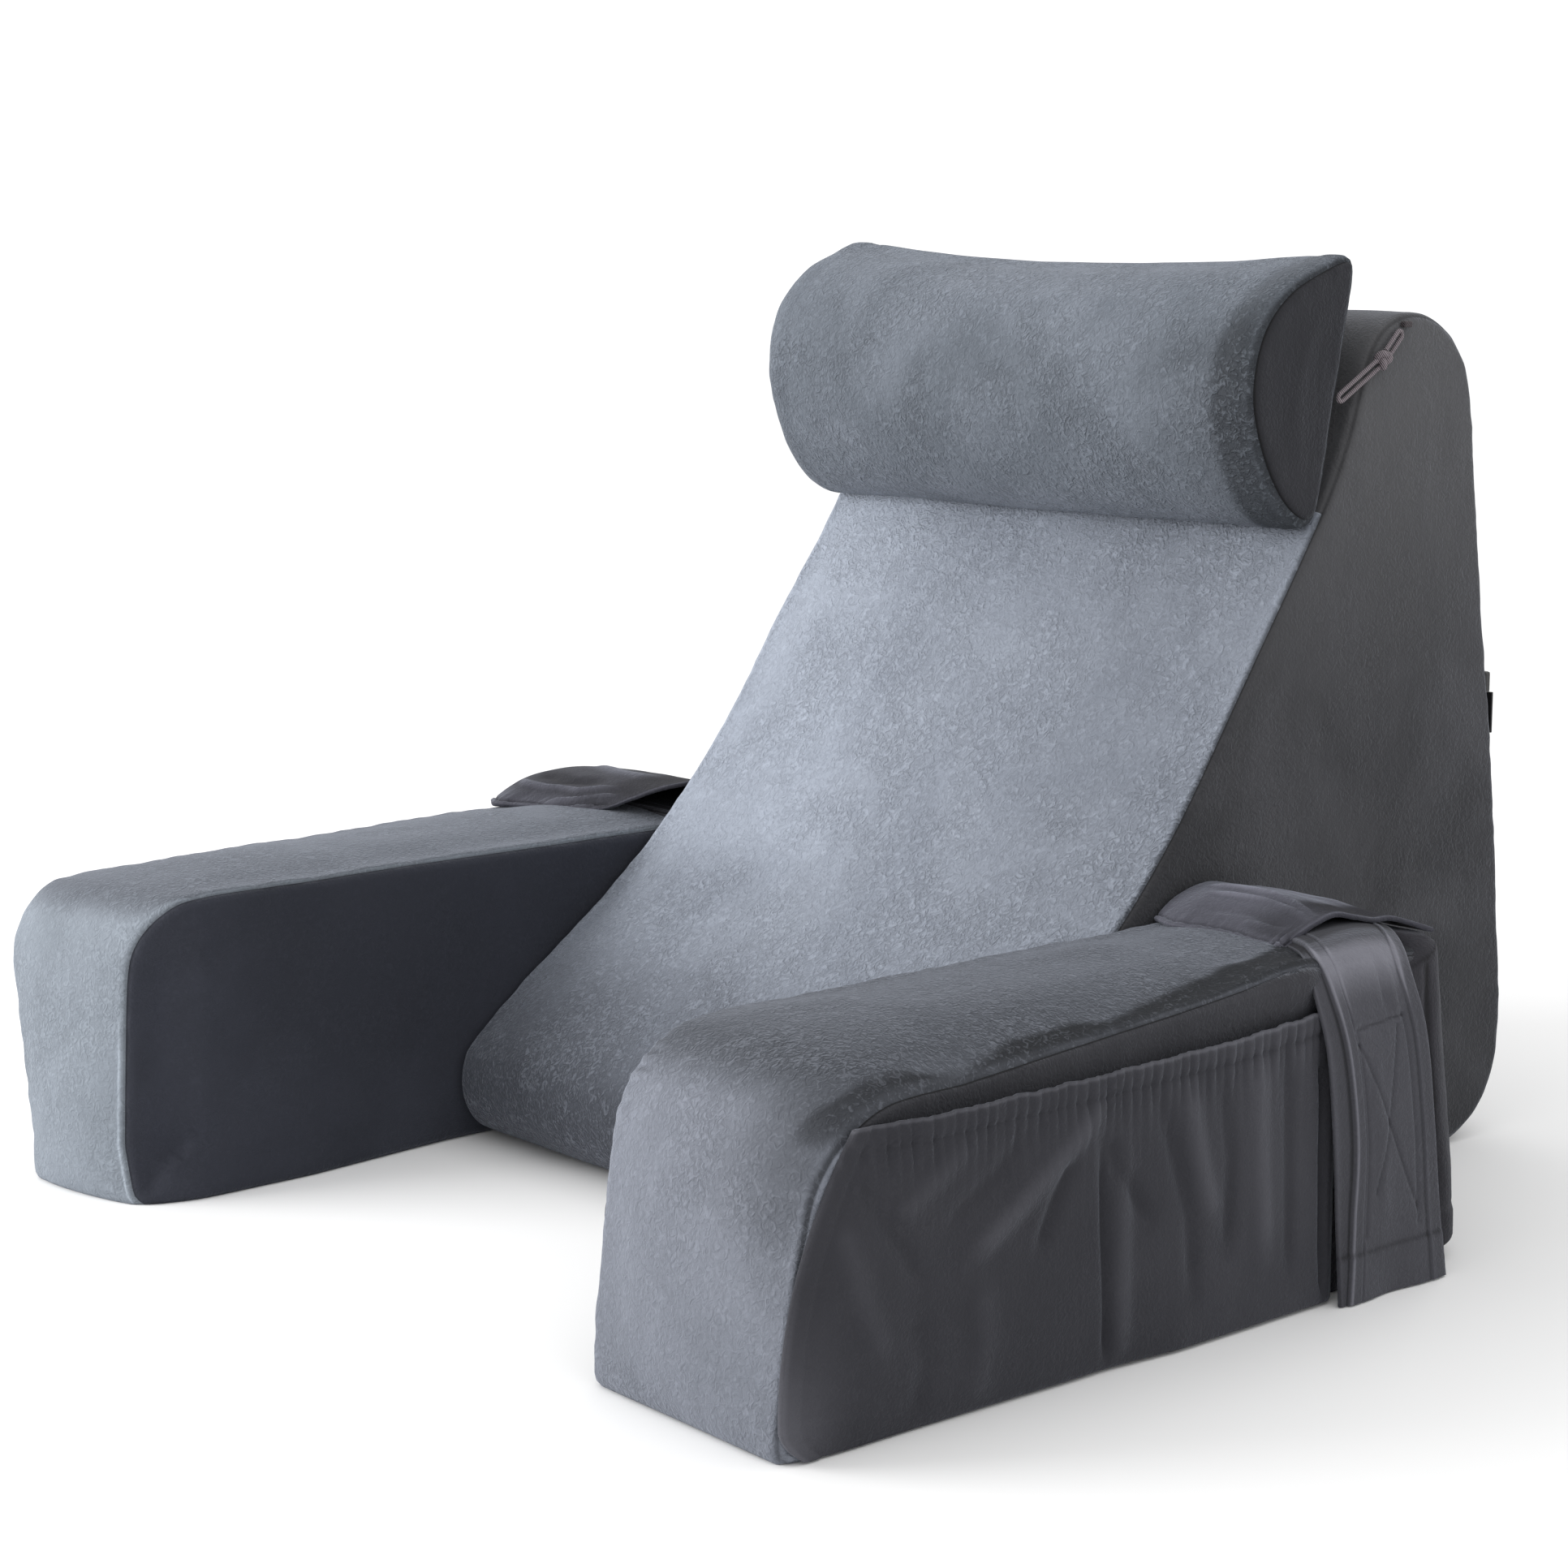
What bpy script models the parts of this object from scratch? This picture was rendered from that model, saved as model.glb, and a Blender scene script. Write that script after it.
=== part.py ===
"""Reading pillow with arms: a filled wedge backrest, two filled arms, a neck roll and its cloth fittings.

Metres, +Z up. The sitter faces -Y, the right arm is on +X, and the floor is z = 0.
The origin is the middle of the footprint, on the floor.
"""
import math

import bmesh
import bpy
from mathutils import Vector

# ---------------------------------------------------------------- driving dimensions
GAP = 0.0003                  # clearance between pieces that touch
CLOTH = 0.0024                # thickness of a hemmed cloth flap
DRAPE_CLEAR = 0.002           # how far draped cloth stays off the cushion under it

BACK_HALF_BASE = 0.2195       # half width of the backrest at the floor
BACK_HALF_TOP = 0.2175        # half width of the backrest at its top
BACK_LEFT_TUCK = 0.0035       # how much narrower its left half is there
BACK_TOP = 0.5465             # height of the backrest
BACK_REAR = 0.3970            # rearmost point of the backrest, just above the floor
BACK_LEAN = 0.127             # how far the back leans forward for each unit of height
BACK_BOW = 0.0040             # how far its rear bulges at the height of the zip

ARM_INNER = 0.2228            # inner face of an arm, beside the backrest
ARM_OUTER = 0.3700            # outer face of an arm
ARM_REAR = 0.1550             # rear end of an arm
ARM_TOP = 0.1895              # height of an arm
ARM_OUTER_DROP = 0.0850       # share of its height by which the right arm's outer seam drops
ARM_FRONT_DROP = 0.0120       # how much more that is at the front
ARM_LEFT_DROP = 0.0320        # the same share on the left arm
ARM_CORNER = 0.0240           # its outer rear corner's radius in plan
ARM_CROWN = 0.0030            # how far its ends swell between the seams
ARM_BULGE = 0.0001            # swell of its side panels, pressed flat by the backrest and the pocket
ARM_REAR_LEAN = 0.0220        # how much further forward the rear end is at its top
RIGHT_FRONT = -0.3670         # front of the right arm
LEFT_FRONT = -0.3970          # front of the left arm, which lies a little further forward

ROLL_HALF = 0.2195            # half length of the neck roll

STRAP_WIDTH = 0.0780          # width of an arm strap
STRAP_FLARE = 0.0140          # how much wider it is at its hem
STRAP_THICK = 0.0030
STRAP_ARCH = 0.0065           # how far its middle stands up under the hood

CORD_RADIUS = 0.0014          # elastic cord of the neck roll
CORD_SPACING = 0.0050         # distance between its two strands

collection = bpy.data.collections.new("reading_pillow_with_arms")


# ---------------------------------------------------------------- helpers
def make_material(name, colour, roughness, metallic=0.0):
    material = bpy.data.materials.new(name)
    material.use_nodes = True
    shader = material.node_tree.nodes["Principled BSDF"]
    shader.inputs["Base Color"].default_value = (*colour, 1.0)
    shader.inputs["Roughness"].default_value = roughness
    shader.inputs["Metallic"].default_value = metallic
    return material


def add_object(name, data, material):
    piece = bpy.data.objects.new(name, data)
    collection.objects.link(piece)
    piece.data.materials.append(material)
    return piece


def finish_mesh(name, mesh_builder, material):
    """Turn a bmesh into a smooth-shaded object whose faces point out."""
    bmesh.ops.recalc_face_normals(mesh_builder, faces=mesh_builder.faces)
    mesh = bpy.data.meshes.new(name)
    mesh_builder.to_mesh(mesh)
    mesh_builder.free()
    mesh.shade_smooth()
    return add_object(name, mesh, material)


def subdivide(piece, levels=1):
    modifier = piece.modifiers.new("Soft", "SUBSURF")
    modifier.levels = levels
    modifier.render_levels = levels


def mix(a, b, t):
    return a + (b - a) * t


def along(points, t):
    """Smooth (Catmull-Rom) position at t, from 0 to 1, through equally weighted points."""
    spans = len(points) - 1
    span = min(int(t * spans), spans - 1)
    s = t * spans - span
    before = points[max(span - 1, 0)]
    start, end = points[span], points[span + 1]
    after = points[min(span + 2, spans)]
    return tuple(
        0.5 * (2 * b + (c - a) * s + (2 * a - 5 * b + 4 * c - d) * s ** 2 + (3 * b - a - 3 * c + d) * s ** 3)
        for a, b, c, d in zip(before, start, end, after))


def arc(centre, radius, start, end, steps):
    """Points (y, z) of an arc, its angles in degrees from +y towards +z."""
    points = []
    for step in range(steps + 1):
        angle = math.radians(mix(start, end, step / steps))
        points.append((centre[0] + radius * math.cos(angle), centre[1] + radius * math.sin(angle)))
    return points


def outward(ring, index):
    """Outward normal (y, z) of a closed outline at one of its points."""
    y0, z0 = ring[index - 1]
    y1, z1 = ring[(index + 1) % len(ring)]
    length = math.hypot(y1 - y0, z1 - z0)
    turn = 1 if signed_area(ring) > 0 else -1
    return turn * (z1 - z0) / length, -turn * (y1 - y0) / length


def signed_area(ring):
    return 0.5 * sum(ring[i - 1][0] * z - y * ring[i - 1][1] for i, (y, z) in enumerate(ring))


def grown(ring, amount, crown=(1.0, 1.0, 1.0, 1.0)):
    """The outline moved outward by amount, times its share for faces that look to the
    front, the rear, up and down. What lies on the floor stays on it.
    """
    front, rear, up, down = crown
    result = []
    for index, (y, z) in enumerate(ring):
        ny, nz = outward(ring, index)
        move = amount * (front * max(-ny, 0) + rear * max(ny, 0) + up * max(nz, 0) + down * max(-nz, 0))
        if z < 1e-6:
            result.append((y, z))
        else:
            result.append((y + ny * move, max(z + nz * move, 0.0)))
    return result


def shrunk(ring, scale):
    """The outline scaled about its middle, for the rings of a side panel."""
    middle_y = sum(y for y, z in ring) / len(ring)
    middle_z = sum(z for y, z in ring) / len(ring)
    return [(mix(middle_y, y, scale), mix(middle_z, z, scale)) for y, z in ring]


def cushion(name, ring, sides, crown, bulge, material, seam_inset=0.0015, shoulder=0.25, warp=None):
    """A filled cushion: a band that follows ring, and a side panel at each end.

    sides(y, z) gives the x of the two side seams. The band crowns between them by
    crown = (front, rear, up, down) and draws in at the seams, with a share of shoulder of
    its crown close to them. bulge is how far each side panel swells in its middle.
    warp(t, y, z), if given, moves a point at t across the band to its own (y, z).
    """
    near = mix(shoulder, 1.0, 0.80)
    stations = ((0.0, 0.0), (0.035, shoulder), (0.26, near), (0.5, 1.0),
                (0.74, near), (0.965, shoulder), (1.0, 0.0))
    panel = ((0.975, 0.15), (0.62, 0.9))
    builder = bmesh.new()
    rings = []

    def add_ring(outline, t, side_offset=0.0):
        points = []
        for (y, z), (seam_y, seam_z) in zip(outline, outline if side_offset else ring):
            low, high = sides(seam_y, seam_z)
            if warp:
                y, z = warp(t, y, z)
            points.append(builder.verts.new((mix(low, high, t) + side_offset, y, z)))
        rings.append(points)

    seam = grown(ring, -seam_inset)
    for scale, swell in reversed(panel):
        add_ring(shrunk(seam, scale), 0.0, -bulge * swell)
    add_ring(seam, 0.0)
    for t, growth in stations[1:-1]:
        add_ring(grown(ring, growth, crown), t)
    add_ring(seam, 1.0)
    for scale, swell in panel:
        add_ring(shrunk(seam, scale), 1.0, bulge * swell)

    count = len(ring)
    for first, second in zip(rings, rings[1:]):
        for i in range(count):
            j = (i + 1) % count
            builder.faces.new((first[i], first[j], second[j], second[i]))
    builder.faces.new(rings[0])
    builder.faces.new(rings[-1])
    piece = finish_mesh(name, builder, material)
    subdivide(piece)
    return piece


def sheet(name, columns, rows, place, thickness, material):
    """A hemmed cloth sheet: place(u, v) is its middle surface, thickened both ways."""
    builder = bmesh.new()
    grid = [[builder.verts.new(place(i / columns, j / rows)) for j in range(rows + 1)]
            for i in range(columns + 1)]
    for i in range(columns):
        for j in range(rows):
            builder.faces.new((grid[i][j], grid[i + 1][j], grid[i + 1][j + 1], grid[i][j + 1]))
    mesh = bpy.data.meshes.new(name)
    builder.to_mesh(mesh)
    builder.free()
    mesh.shade_smooth()
    piece = add_object(name, mesh, material)
    solid = piece.modifiers.new("Thickness", "SOLIDIFY")
    solid.thickness = thickness
    solid.offset = 0.0
    return piece


def tube(name, points, radius, material):
    """A round cord along points, its ends closed."""
    curve = bpy.data.curves.new(name, "CURVE")
    curve.dimensions = "3D"
    curve.bevel_depth = radius
    curve.bevel_resolution = 2
    curve.render_resolution_u = 0
    curve.use_fill_caps = True
    spline = curve.splines.new("POLY")
    spline.points.add(len(points) - 1)
    for control, (x, y, z) in zip(spline.points, points):
        control.co = (x, y, z, 1.0)
    return add_object(name, curve, material)


def block(name, centre, size, edge, material):
    """A small moulded or knotted piece: a box with softened edges."""
    builder = bmesh.new()
    bmesh.ops.create_cube(builder, size=1.0)
    bmesh.ops.scale(builder, vec=size, verts=builder.verts)
    bmesh.ops.translate(builder, vec=centre, verts=builder.verts)
    piece = finish_mesh(name, builder, material)
    bevel = piece.modifiers.new("Edges", "BEVEL")
    bevel.width = edge
    bevel.segments = 2
    return piece


def ball(name, centre, radius, material):
    """A round knot."""
    builder = bmesh.new()
    bmesh.ops.create_uvsphere(builder, u_segments=12, v_segments=8, radius=radius)
    bmesh.ops.translate(builder, vec=centre, verts=builder.verts)
    return finish_mesh(name, builder, material)


# ---------------------------------------------------------------- backrest
BACK_BEND = 0.1900            # height at which the leaning back line is measured
BACK_LINE = 0.3845            # y of the back at that height

# front seam of the backrest, from the nose up: (y, z)
FRONT_FACE = ((-0.1330, 0.0650), (-0.0880, 0.1030), (-0.0280, 0.1440), (0.0270, 0.1900),
              (0.0750, 0.2440), (0.1130, 0.2990), (0.1530, 0.3560), (0.1940, 0.4130),
              (0.2260, 0.4650))

BACK_CROWN = (0.0015, 0.0040, 0.0020, 0.0)
BACK_BULGE = 0.0015           # swell of its side panels, which the arms press flat


def back_line(z):
    """y of the leaning back at height z."""
    return BACK_LINE - BACK_LEAN * (z - BACK_BEND) + BACK_BOW * math.exp(-((z - 0.2350) / 0.0900) ** 2)


def backrest_outline():
    crown_radius = 0.0620
    crown_centre = (back_line(BACK_TOP - crown_radius) - crown_radius, BACK_TOP - crown_radius)
    heel_radius = 0.0680
    heel_centre = (BACK_REAR - heel_radius, heel_radius)
    nose = arc((-0.1000, 0.0420), 0.0420, 250, 155, 4)
    top = arc(crown_centre, crown_radius, 140, 5, 5)
    rear = [(back_line(z), z) for z in (0.4200, 0.3400, 0.2600, 0.1800, 0.1100)]
    heel = arc(heel_centre, heel_radius, -8, -78, 3)
    floor = [(y, 0.0) for y in (0.3300, 0.2200, 0.1100, 0.0000, -0.1080)]
    return nose[1:] + list(FRONT_FACE) + top + rear + heel + floor


def backrest_sides(y, z):
    half = mix(BACK_HALF_BASE, BACK_HALF_TOP, z / BACK_TOP)
    return BACK_LEFT_TUCK * z / BACK_TOP - half, half


# ---------------------------------------------------------------- neck roll
# end seam of the neck roll, from its lower rear corner round the front: (y, z)
ROLL_SECTION = ((0.1895, 0.4205), (0.1790, 0.4210), (0.1615, 0.4320), (0.1455, 0.4545),
                (0.1355, 0.4780), (0.1305, 0.5005), (0.1365, 0.5285), (0.1480, 0.5465),
                (0.1680, 0.5625), (0.1930, 0.5715), (0.2220, 0.5820), (0.2225, 0.5700),
                (0.2160, 0.5350), (0.2080, 0.4985), (0.2005, 0.4600), (0.1940, 0.4310))
ROLL_CROWN = (0.0075, 0.0005, 0.0, 0.0065)
ROLL_SAG = 0.0075             # how far the top between its ends is drawn down


def roll_set(t, y, z):
    """The roll's top sags between its ends, and its left end sits higher and further forward."""
    left = (1 - t) ** 3 * share(z, 0.4900, 0.5800)
    sag = 4 * t * (1 - t) * share(z, 0.5300, 0.5800)
    return y - 0.0060 * left, z + 0.0095 * left - ROLL_SAG * sag


# ---------------------------------------------------------------- arms
def arm_outline(front, lean, top_front_radius, foot):
    """Outline of an arm in side view. lean is how much further back its front is at the top,
    and foot is the rounding of its lower front edge.
    """
    edge = foot + 0.0090
    heel = 0.0220
    spacing = 0.0800
    shoulder = front + lean
    rear_top = ARM_REAR - ARM_REAR_LEAN
    top_front = arc((shoulder + top_front_radius, ARM_TOP - top_front_radius), top_front_radius, 180, 90, 4)
    top_rear = arc((rear_top - heel, ARM_TOP - heel), heel, 90, 0, 2)
    run = int((rear_top - heel - shoulder - top_front_radius) / spacing)
    top = [(mix(top_front[-1][0], top_rear[0][0], i / run), ARM_TOP) for i in range(1, run)]
    rear = [(mix(ARM_REAR, rear_top, z / ARM_TOP), z) for z in (0.1100, 0.0500, foot)]
    floor = [(mix(ARM_REAR - foot, front + edge, i / (run + 1)), 0.0) for i in range(run + 2)]
    front_face = [(front + foot, 0.0), (front, foot), (front, edge), (mix(front, shoulder, 0.4), 0.0600)]
    return top_front + top + top_rear + rear + floor + front_face


def foot_ahead(y, z):
    """How much further forward the right arm's outer foot is than its inner one."""
    return 0.0050 * share(y, -0.3000, -0.3550) * share(z, 0.1300, 0.0600)


def right_set(t, y, z):
    """The right arm is lower towards its outer side, ahead of the hood, and its foot is further forward."""
    drop = ARM_OUTER_DROP * share(y, -0.0200, -0.2500) + ARM_FRONT_DROP * share(y, -0.3000, -0.3300)
    return y - foot_ahead(y, z) * t ** 2, z * (1 - drop * t ** 8)


def left_set(t, y, z):
    """The left arm's front is set back towards its inner side, and its outer side is lower."""
    drop = ARM_LEFT_DROP * share(y, -0.0300, -0.3600)
    return y + 0.0150 * t ** 2 * share(y, -0.2500, -0.3700), z * (1 - drop * (1 - t) ** 3)


def share(value, start, end):
    """How far value has gone from start to end, from 0 to 1."""
    return min(max((value - start) / (end - start), 0.0), 1.0)


def outer_face(y, z):
    """x of an arm's outer face, with its leaning rear corner rounded in plan."""
    rear = ARM_REAR - ARM_REAR_LEAN * z / ARM_TOP
    turn = share(y, rear - ARM_CORNER, rear)
    return ARM_OUTER - ARM_CORNER * (1 - math.sqrt(1 - turn ** 2))


def right_sides(y, z):
    """The inner face toes in ahead of the backrest and the outer front corner is rounded."""
    ahead = share(y, -0.2500, RIGHT_FRONT)
    corner = share(y, -0.3200, RIGHT_FRONT)
    return ARM_INNER - 0.0105 * ahead, outer_face(y, z) - 0.0040 * corner ** 2


def left_sides(y, z):
    """The left arm's front corners are rounder than the right arm's. Its outer foot tucks in,
    and its inner foot spreads ahead of the backrest.
    """
    inner = share(y, -0.3450, LEFT_FRONT)
    outer = share(y, -0.3100, LEFT_FRONT)
    tuck = 0.0245 * share(y, -0.2000, LEFT_FRONT) * share(z, 0.1400, 0.0300)
    spread = 0.0120 * share(y, -0.1500, -0.2600) * share(z, 0.0350, 0.0)
    return -outer_face(y, z) + 0.0180 * outer ** 2 + tuck, spread - ARM_INNER - 0.0150 * inner ** 2


# ---------------------------------------------------------------- hoods, sleeves and straps
# side edges of the hoods, from the front border to the rear border: (x, y, z)
HOOD_RIGHT_INNER = ((0.2250, 0.0440, 0.1935), (0.2250, 0.0660, 0.2030), (0.2250, 0.0920, 0.2085),
                    (0.2250, 0.1180, 0.2040), (0.2250, 0.1420, 0.1945))
HOOD_RIGHT_OUTER = ((0.3290, 0.0330, 0.1930), (0.3330, 0.0520, 0.2050), (0.3370, 0.0810, 0.2095),
                    (0.3440, 0.1180, 0.2000), (0.3720, 0.1360, 0.1940))
HOOD_LEFT_OUTER = ((-0.3740, 0.0000, 0.1925), (-0.3750, 0.0280, 0.2035), (-0.3760, 0.0640, 0.2090),
                   (-0.3760, 0.1020, 0.2050), (-0.3740, 0.1380, 0.1940))
HOOD_LEFT_INNER = ((-0.2930, 0.0150, 0.1925), (-0.2660, 0.0300, 0.2020), (-0.2400, 0.0450, 0.2125),
                   (-0.2250, 0.0800, 0.2130), (-0.2250, 0.1400, 0.1945))
HOOD_SWELL = 0.0040           # how much higher a hood is in its middle than at its side edges

# an arm strap along its middle, from the backrest over the arm to the floor: (x, y, z)
STRAP_PATH = ((0.2260, 0.0960, 0.1930), (0.2900, 0.0925, 0.1932), (0.3350, 0.0800, 0.1940),
              (0.3640, 0.0580, 0.1935), (0.3805, 0.0470, 0.1800), (0.3885, 0.0510, 0.1480),
              (0.3890, 0.0590, 0.0960), (0.3885, 0.0650, 0.0480), (0.3890, 0.0700, 0.0000))

SLEEVE_FRONT = 0.0960         # where a rear sleeve starts, behind the strap, at the floor
SLEEVE_INNER = 0.2250         # where it ends, beside the backrest
SLEEVE_HEIGHT = 0.1900        # at the rear; it is lower beside the strap
SLEEVE_FLARE = 0.0060         # how far its lower part stands off to the rear


def hood(name, first_edge, second_edge, material):
    """The flap over an arm's rear end: sewn down along its front border, arched over the strap."""
    def place(u, v):
        start, end = Vector(along(first_edge, v)), Vector(along(second_edge, v))
        swell = HOOD_SWELL * 4 * u * (1 - u) * math.sin(math.pi * v)
        return start.lerp(end, u) + Vector((0, 0, swell))
    return sheet(name, 10, 9, place, CLOTH, material)


def sleeve(name, side, material):
    """Cloth round the rear end of an arm: down its outer side behind the strap, then across its end."""
    outer_x = ARM_OUTER + DRAPE_CLEAR + CLOTH / 2
    rear_y = ARM_REAR + ARM_CROWN + DRAPE_CLEAR + CLOTH / 2
    radius = ARM_CORNER + DRAPE_CLEAR
    corner = (outer_x - radius, rear_y - radius)
    plan = [(outer_x, SLEEVE_FRONT), (outer_x, mix(SLEEVE_FRONT, corner[1], 0.5))]
    plan += arc(corner, radius, 0, 90, 3)
    plan += [(mix(corner[0], SLEEVE_INNER, i / 4), rear_y) for i in range(1, 5)]

    def place(u, v):
        x, y = plan[round(u * (len(plan) - 1))]
        hem_rise = 0.0140 * max(0.0, 1 - abs(u - 0.35) / 0.35) * (1 - v) ** 3
        z = mix(0.0012, SLEEVE_HEIGHT - 0.0160 * share(u, 0.3000, 0.0), v) + hem_rise
        flare = SLEEVE_FLARE * math.exp(-((z - 0.0380) / 0.0320) ** 2) * share(y, SLEEVE_FRONT, rear_y)
        return side * x, y + flare - ARM_REAR_LEAN * z / ARM_TOP, z
    return sheet(name, len(plan) - 1, 7, place, CLOTH, material)


def strap(name, side, material):
    """The wide strap that runs under the hood, over the arm and down to the floor."""
    def place(u, v):
        x, y, z = along(STRAP_PATH, v)
        half = (STRAP_WIDTH + STRAP_FLARE * v ** 2) / 2
        hem_lift = 0.0004 * (v == 1.0)
        arch = STRAP_ARCH * 4 * u * (1 - u) * math.sin(math.pi * share(v, 0.05, 0.60))
        return side * x, y + mix(-half, half, u), z + hem_lift + arch
    return sheet(name, 6, 18, place, STRAP_THICK, material)


# ---------------------------------------------------------------- pocket
POCKET_FOOT = -0.3735         # front seam of the pocket at the floor, along the arm's own seam
POCKET_SHOULDER = -0.3290     # and at its top
POCKET_REAR = 0.0200          # its rear fold
POCKET_LOW = 0.0022           # lower edge
POCKET_TOP = 0.1630           # its gathered top edge
POCKET_STAND = 0.0095         # how far the cloth stands off the arm

# main folds, each as two ends (y, z), the height it stands out and its half width
POCKET_FOLDS = (((-0.1650, 0.1480), (-0.2350, 0.0950), 0.0034, 0.0090),
                ((-0.1630, 0.1250), (-0.1550, 0.0050), -0.0030, 0.0080),
                ((-0.1450, 0.1250), (-0.1430, 0.0050), 0.0024, 0.0080),
                ((-0.1165, 0.1373), (-0.0942, 0.0600), -0.0026, 0.0080),
                ((-0.0950, 0.1430), (-0.0760, 0.0700), 0.0024, 0.0080),
                ((-0.0420, 0.1500), (-0.0330, 0.0400), 0.0022, 0.0090),
                ((-0.3300, 0.1400), (-0.2900, 0.0800), -0.0022, 0.0090))


def fold_height(y, z):
    """How far the pocket's folds stand out at a point."""
    height = 0.0
    for (y0, z0), (y1, z1), depth, width in POCKET_FOLDS:
        length = math.hypot(y1 - y0, z1 - z0)
        ahead, up = (y1 - y0) / length, (z1 - z0) / length
        run = min(max((y - y0) * ahead + (z - z0) * up, 0.0), length)
        distance = math.hypot(y - y0 - ahead * run, z - z0 - up * run)
        height += depth * math.exp(-(distance / width) ** 2)
    return height


def pocket_front(z):
    """y of the pocket's front seam at height z."""
    rise = share(z, 0.0200, POCKET_TOP) ** 2.2
    return mix(POCKET_FOOT, POCKET_SHOULDER, rise) + 0.0160 * share(z, 0.0200, 0.0) ** 2


def pocket(name, material):
    """The gathered pocket, its lowest row turned in under it to the arm."""
    columns, rows = 46, 16
    foot = 1 / rows

    def place(u, v):
        up = share(v, foot, 1.0)
        closed = min(v / foot, 1.0)
        top = POCKET_TOP + 0.0110 * u ** 3
        z = mix(POCKET_LOW + 0.0016 * closed, top, up)
        along_y = mix(pocket_front(z), POCKET_REAR, u)
        front_ease = min(u / 0.16, 1.0)
        rear_ease = min((1 - u) / 0.05, 1.0)
        along_swell = math.sin(0.5 * math.pi * front_ease) * math.sqrt(rear_ease)
        foot_out = 0.0040 * share(along_y, -0.3000, -0.1800) + 0.0055 * share(along_y, -0.1500, -0.1000)
        swell = mix(foot_out / POCKET_STAND, 1.0, math.sin(0.5 * math.pi * up ** 0.55)) * along_swell
        stand = POCKET_STAND * swell + fold_height(along_y, z) * along_swell * min(up / 0.06, 1.0)
        arm_side = right_sides(along_y + foot_ahead(along_y, z), z)[1]
        return arm_side + GAP + CLOTH / 2 + max(stand, 0.0) * closed, along_y, z
    return sheet(name, columns, rows, place, CLOTH, material)


# ---------------------------------------------------------------- neck roll cords
CORD_ROLL_END = (0.2185, 0.2120, 0.4940)     # on the back of the neck roll, at its end
CORD_KNOT = (0.2236, 0.2480, 0.5180)         # the knot, beside the backrest's top front edge
CORD_BAR = (0.2210, 0.2730, 0.5390)          # the bar tack at the edge of the backrest's top
KNOT_RADIUS = 0.0048
BAR_SIZE = (0.0040, 0.0080, 0.0040)


def cord_loop(name, side, start, end, material):
    """Two strands of elastic cord from start, joined by a round turn at end."""
    run = Vector(end) - Vector(start)
    ahead = run.normalized()
    across = ahead.cross(Vector((1, 0, 0))).normalized() * (CORD_SPACING / 2)
    begin = Vector(start) + ahead * (KNOT_RADIUS + GAP)
    turn_at = Vector(end) - ahead * (CORD_SPACING / 2)
    half_turn = [turn_at + across * math.cos(angle) + ahead * (CORD_SPACING / 2) * math.sin(angle)
                 for angle in (math.pi * i / 6 for i in range(7))]
    route = [begin + across, (begin + turn_at) / 2 + across] + half_turn
    route += [(begin + turn_at) / 2 - across, begin - across]
    tube(name, [(side * p.x, p.y, p.z) for p in route], CORD_RADIUS, material)


def roll_cords(word, side, material):
    """The elastic that holds the neck roll at one end, tied at a knot on the backrest's edge."""
    knot, bar = Vector(CORD_KNOT), Vector(CORD_BAR)
    bar_reach = (BAR_SIZE[1] + BAR_SIZE[2]) / 2 + CORD_RADIUS
    loop_end = bar - (bar - knot).normalized() * bar_reach
    cord_loop("cord_lower_" + word, side, CORD_KNOT, CORD_ROLL_END, material)
    cord_loop("cord_upper_" + word, side, CORD_KNOT, loop_end, material)
    ball("cord_knot_" + word, (side * knot.x, knot.y, knot.z), KNOT_RADIUS, material)
    block("cord_bar_" + word, (side * bar.x, bar.y, bar.z), BAR_SIZE, 0.0010, material)


# ---------------------------------------------------------------- zip
ZIP_X = 0.2115                # zip line, close to the right edge of the back
ZIP_LOW = 0.1250
ZIP_HIGH = 0.2980
ZIP_RADIUS = 0.0018
SLIDER_SIZE = (0.0080, 0.0060, 0.0140)
PULL_SIZE = (0.0050, 0.0016, 0.0270)


def back_zip(chain_material, slider_material):
    """The zip of the backrest's cover: its chain, its slider and the hanging pull."""
    edge_crown = 0.0012
    chain = []
    for i in range(9):
        z = mix(ZIP_LOW, ZIP_HIGH, i / 8)
        chain.append((ZIP_X, back_line(z) + edge_crown + ZIP_RADIUS, z))
    tube("zip_chain", chain, ZIP_RADIUS, chain_material)
    slider_z = ZIP_HIGH + SLIDER_SIZE[2] / 2 + GAP
    slider_y = back_line(slider_z) + edge_crown + SLIDER_SIZE[1] / 2
    block("zip_slider", (ZIP_X, slider_y, slider_z), SLIDER_SIZE, 0.0015, slider_material)
    pull_z = slider_z - SLIDER_SIZE[2] / 2 - PULL_SIZE[2] / 2 - GAP
    pull_foot = pull_z - PULL_SIZE[2] / 2
    pull_y = back_line(pull_foot) + edge_crown + 2 * ZIP_RADIUS + PULL_SIZE[1] / 2 + 2 * GAP
    block("zip_pull", (ZIP_X, pull_y, pull_z), PULL_SIZE, 0.0005, slider_material)


def clear_scene():
    for existing in list(bpy.data.objects):
        bpy.data.objects.remove(existing, do_unlink=True)


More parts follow.
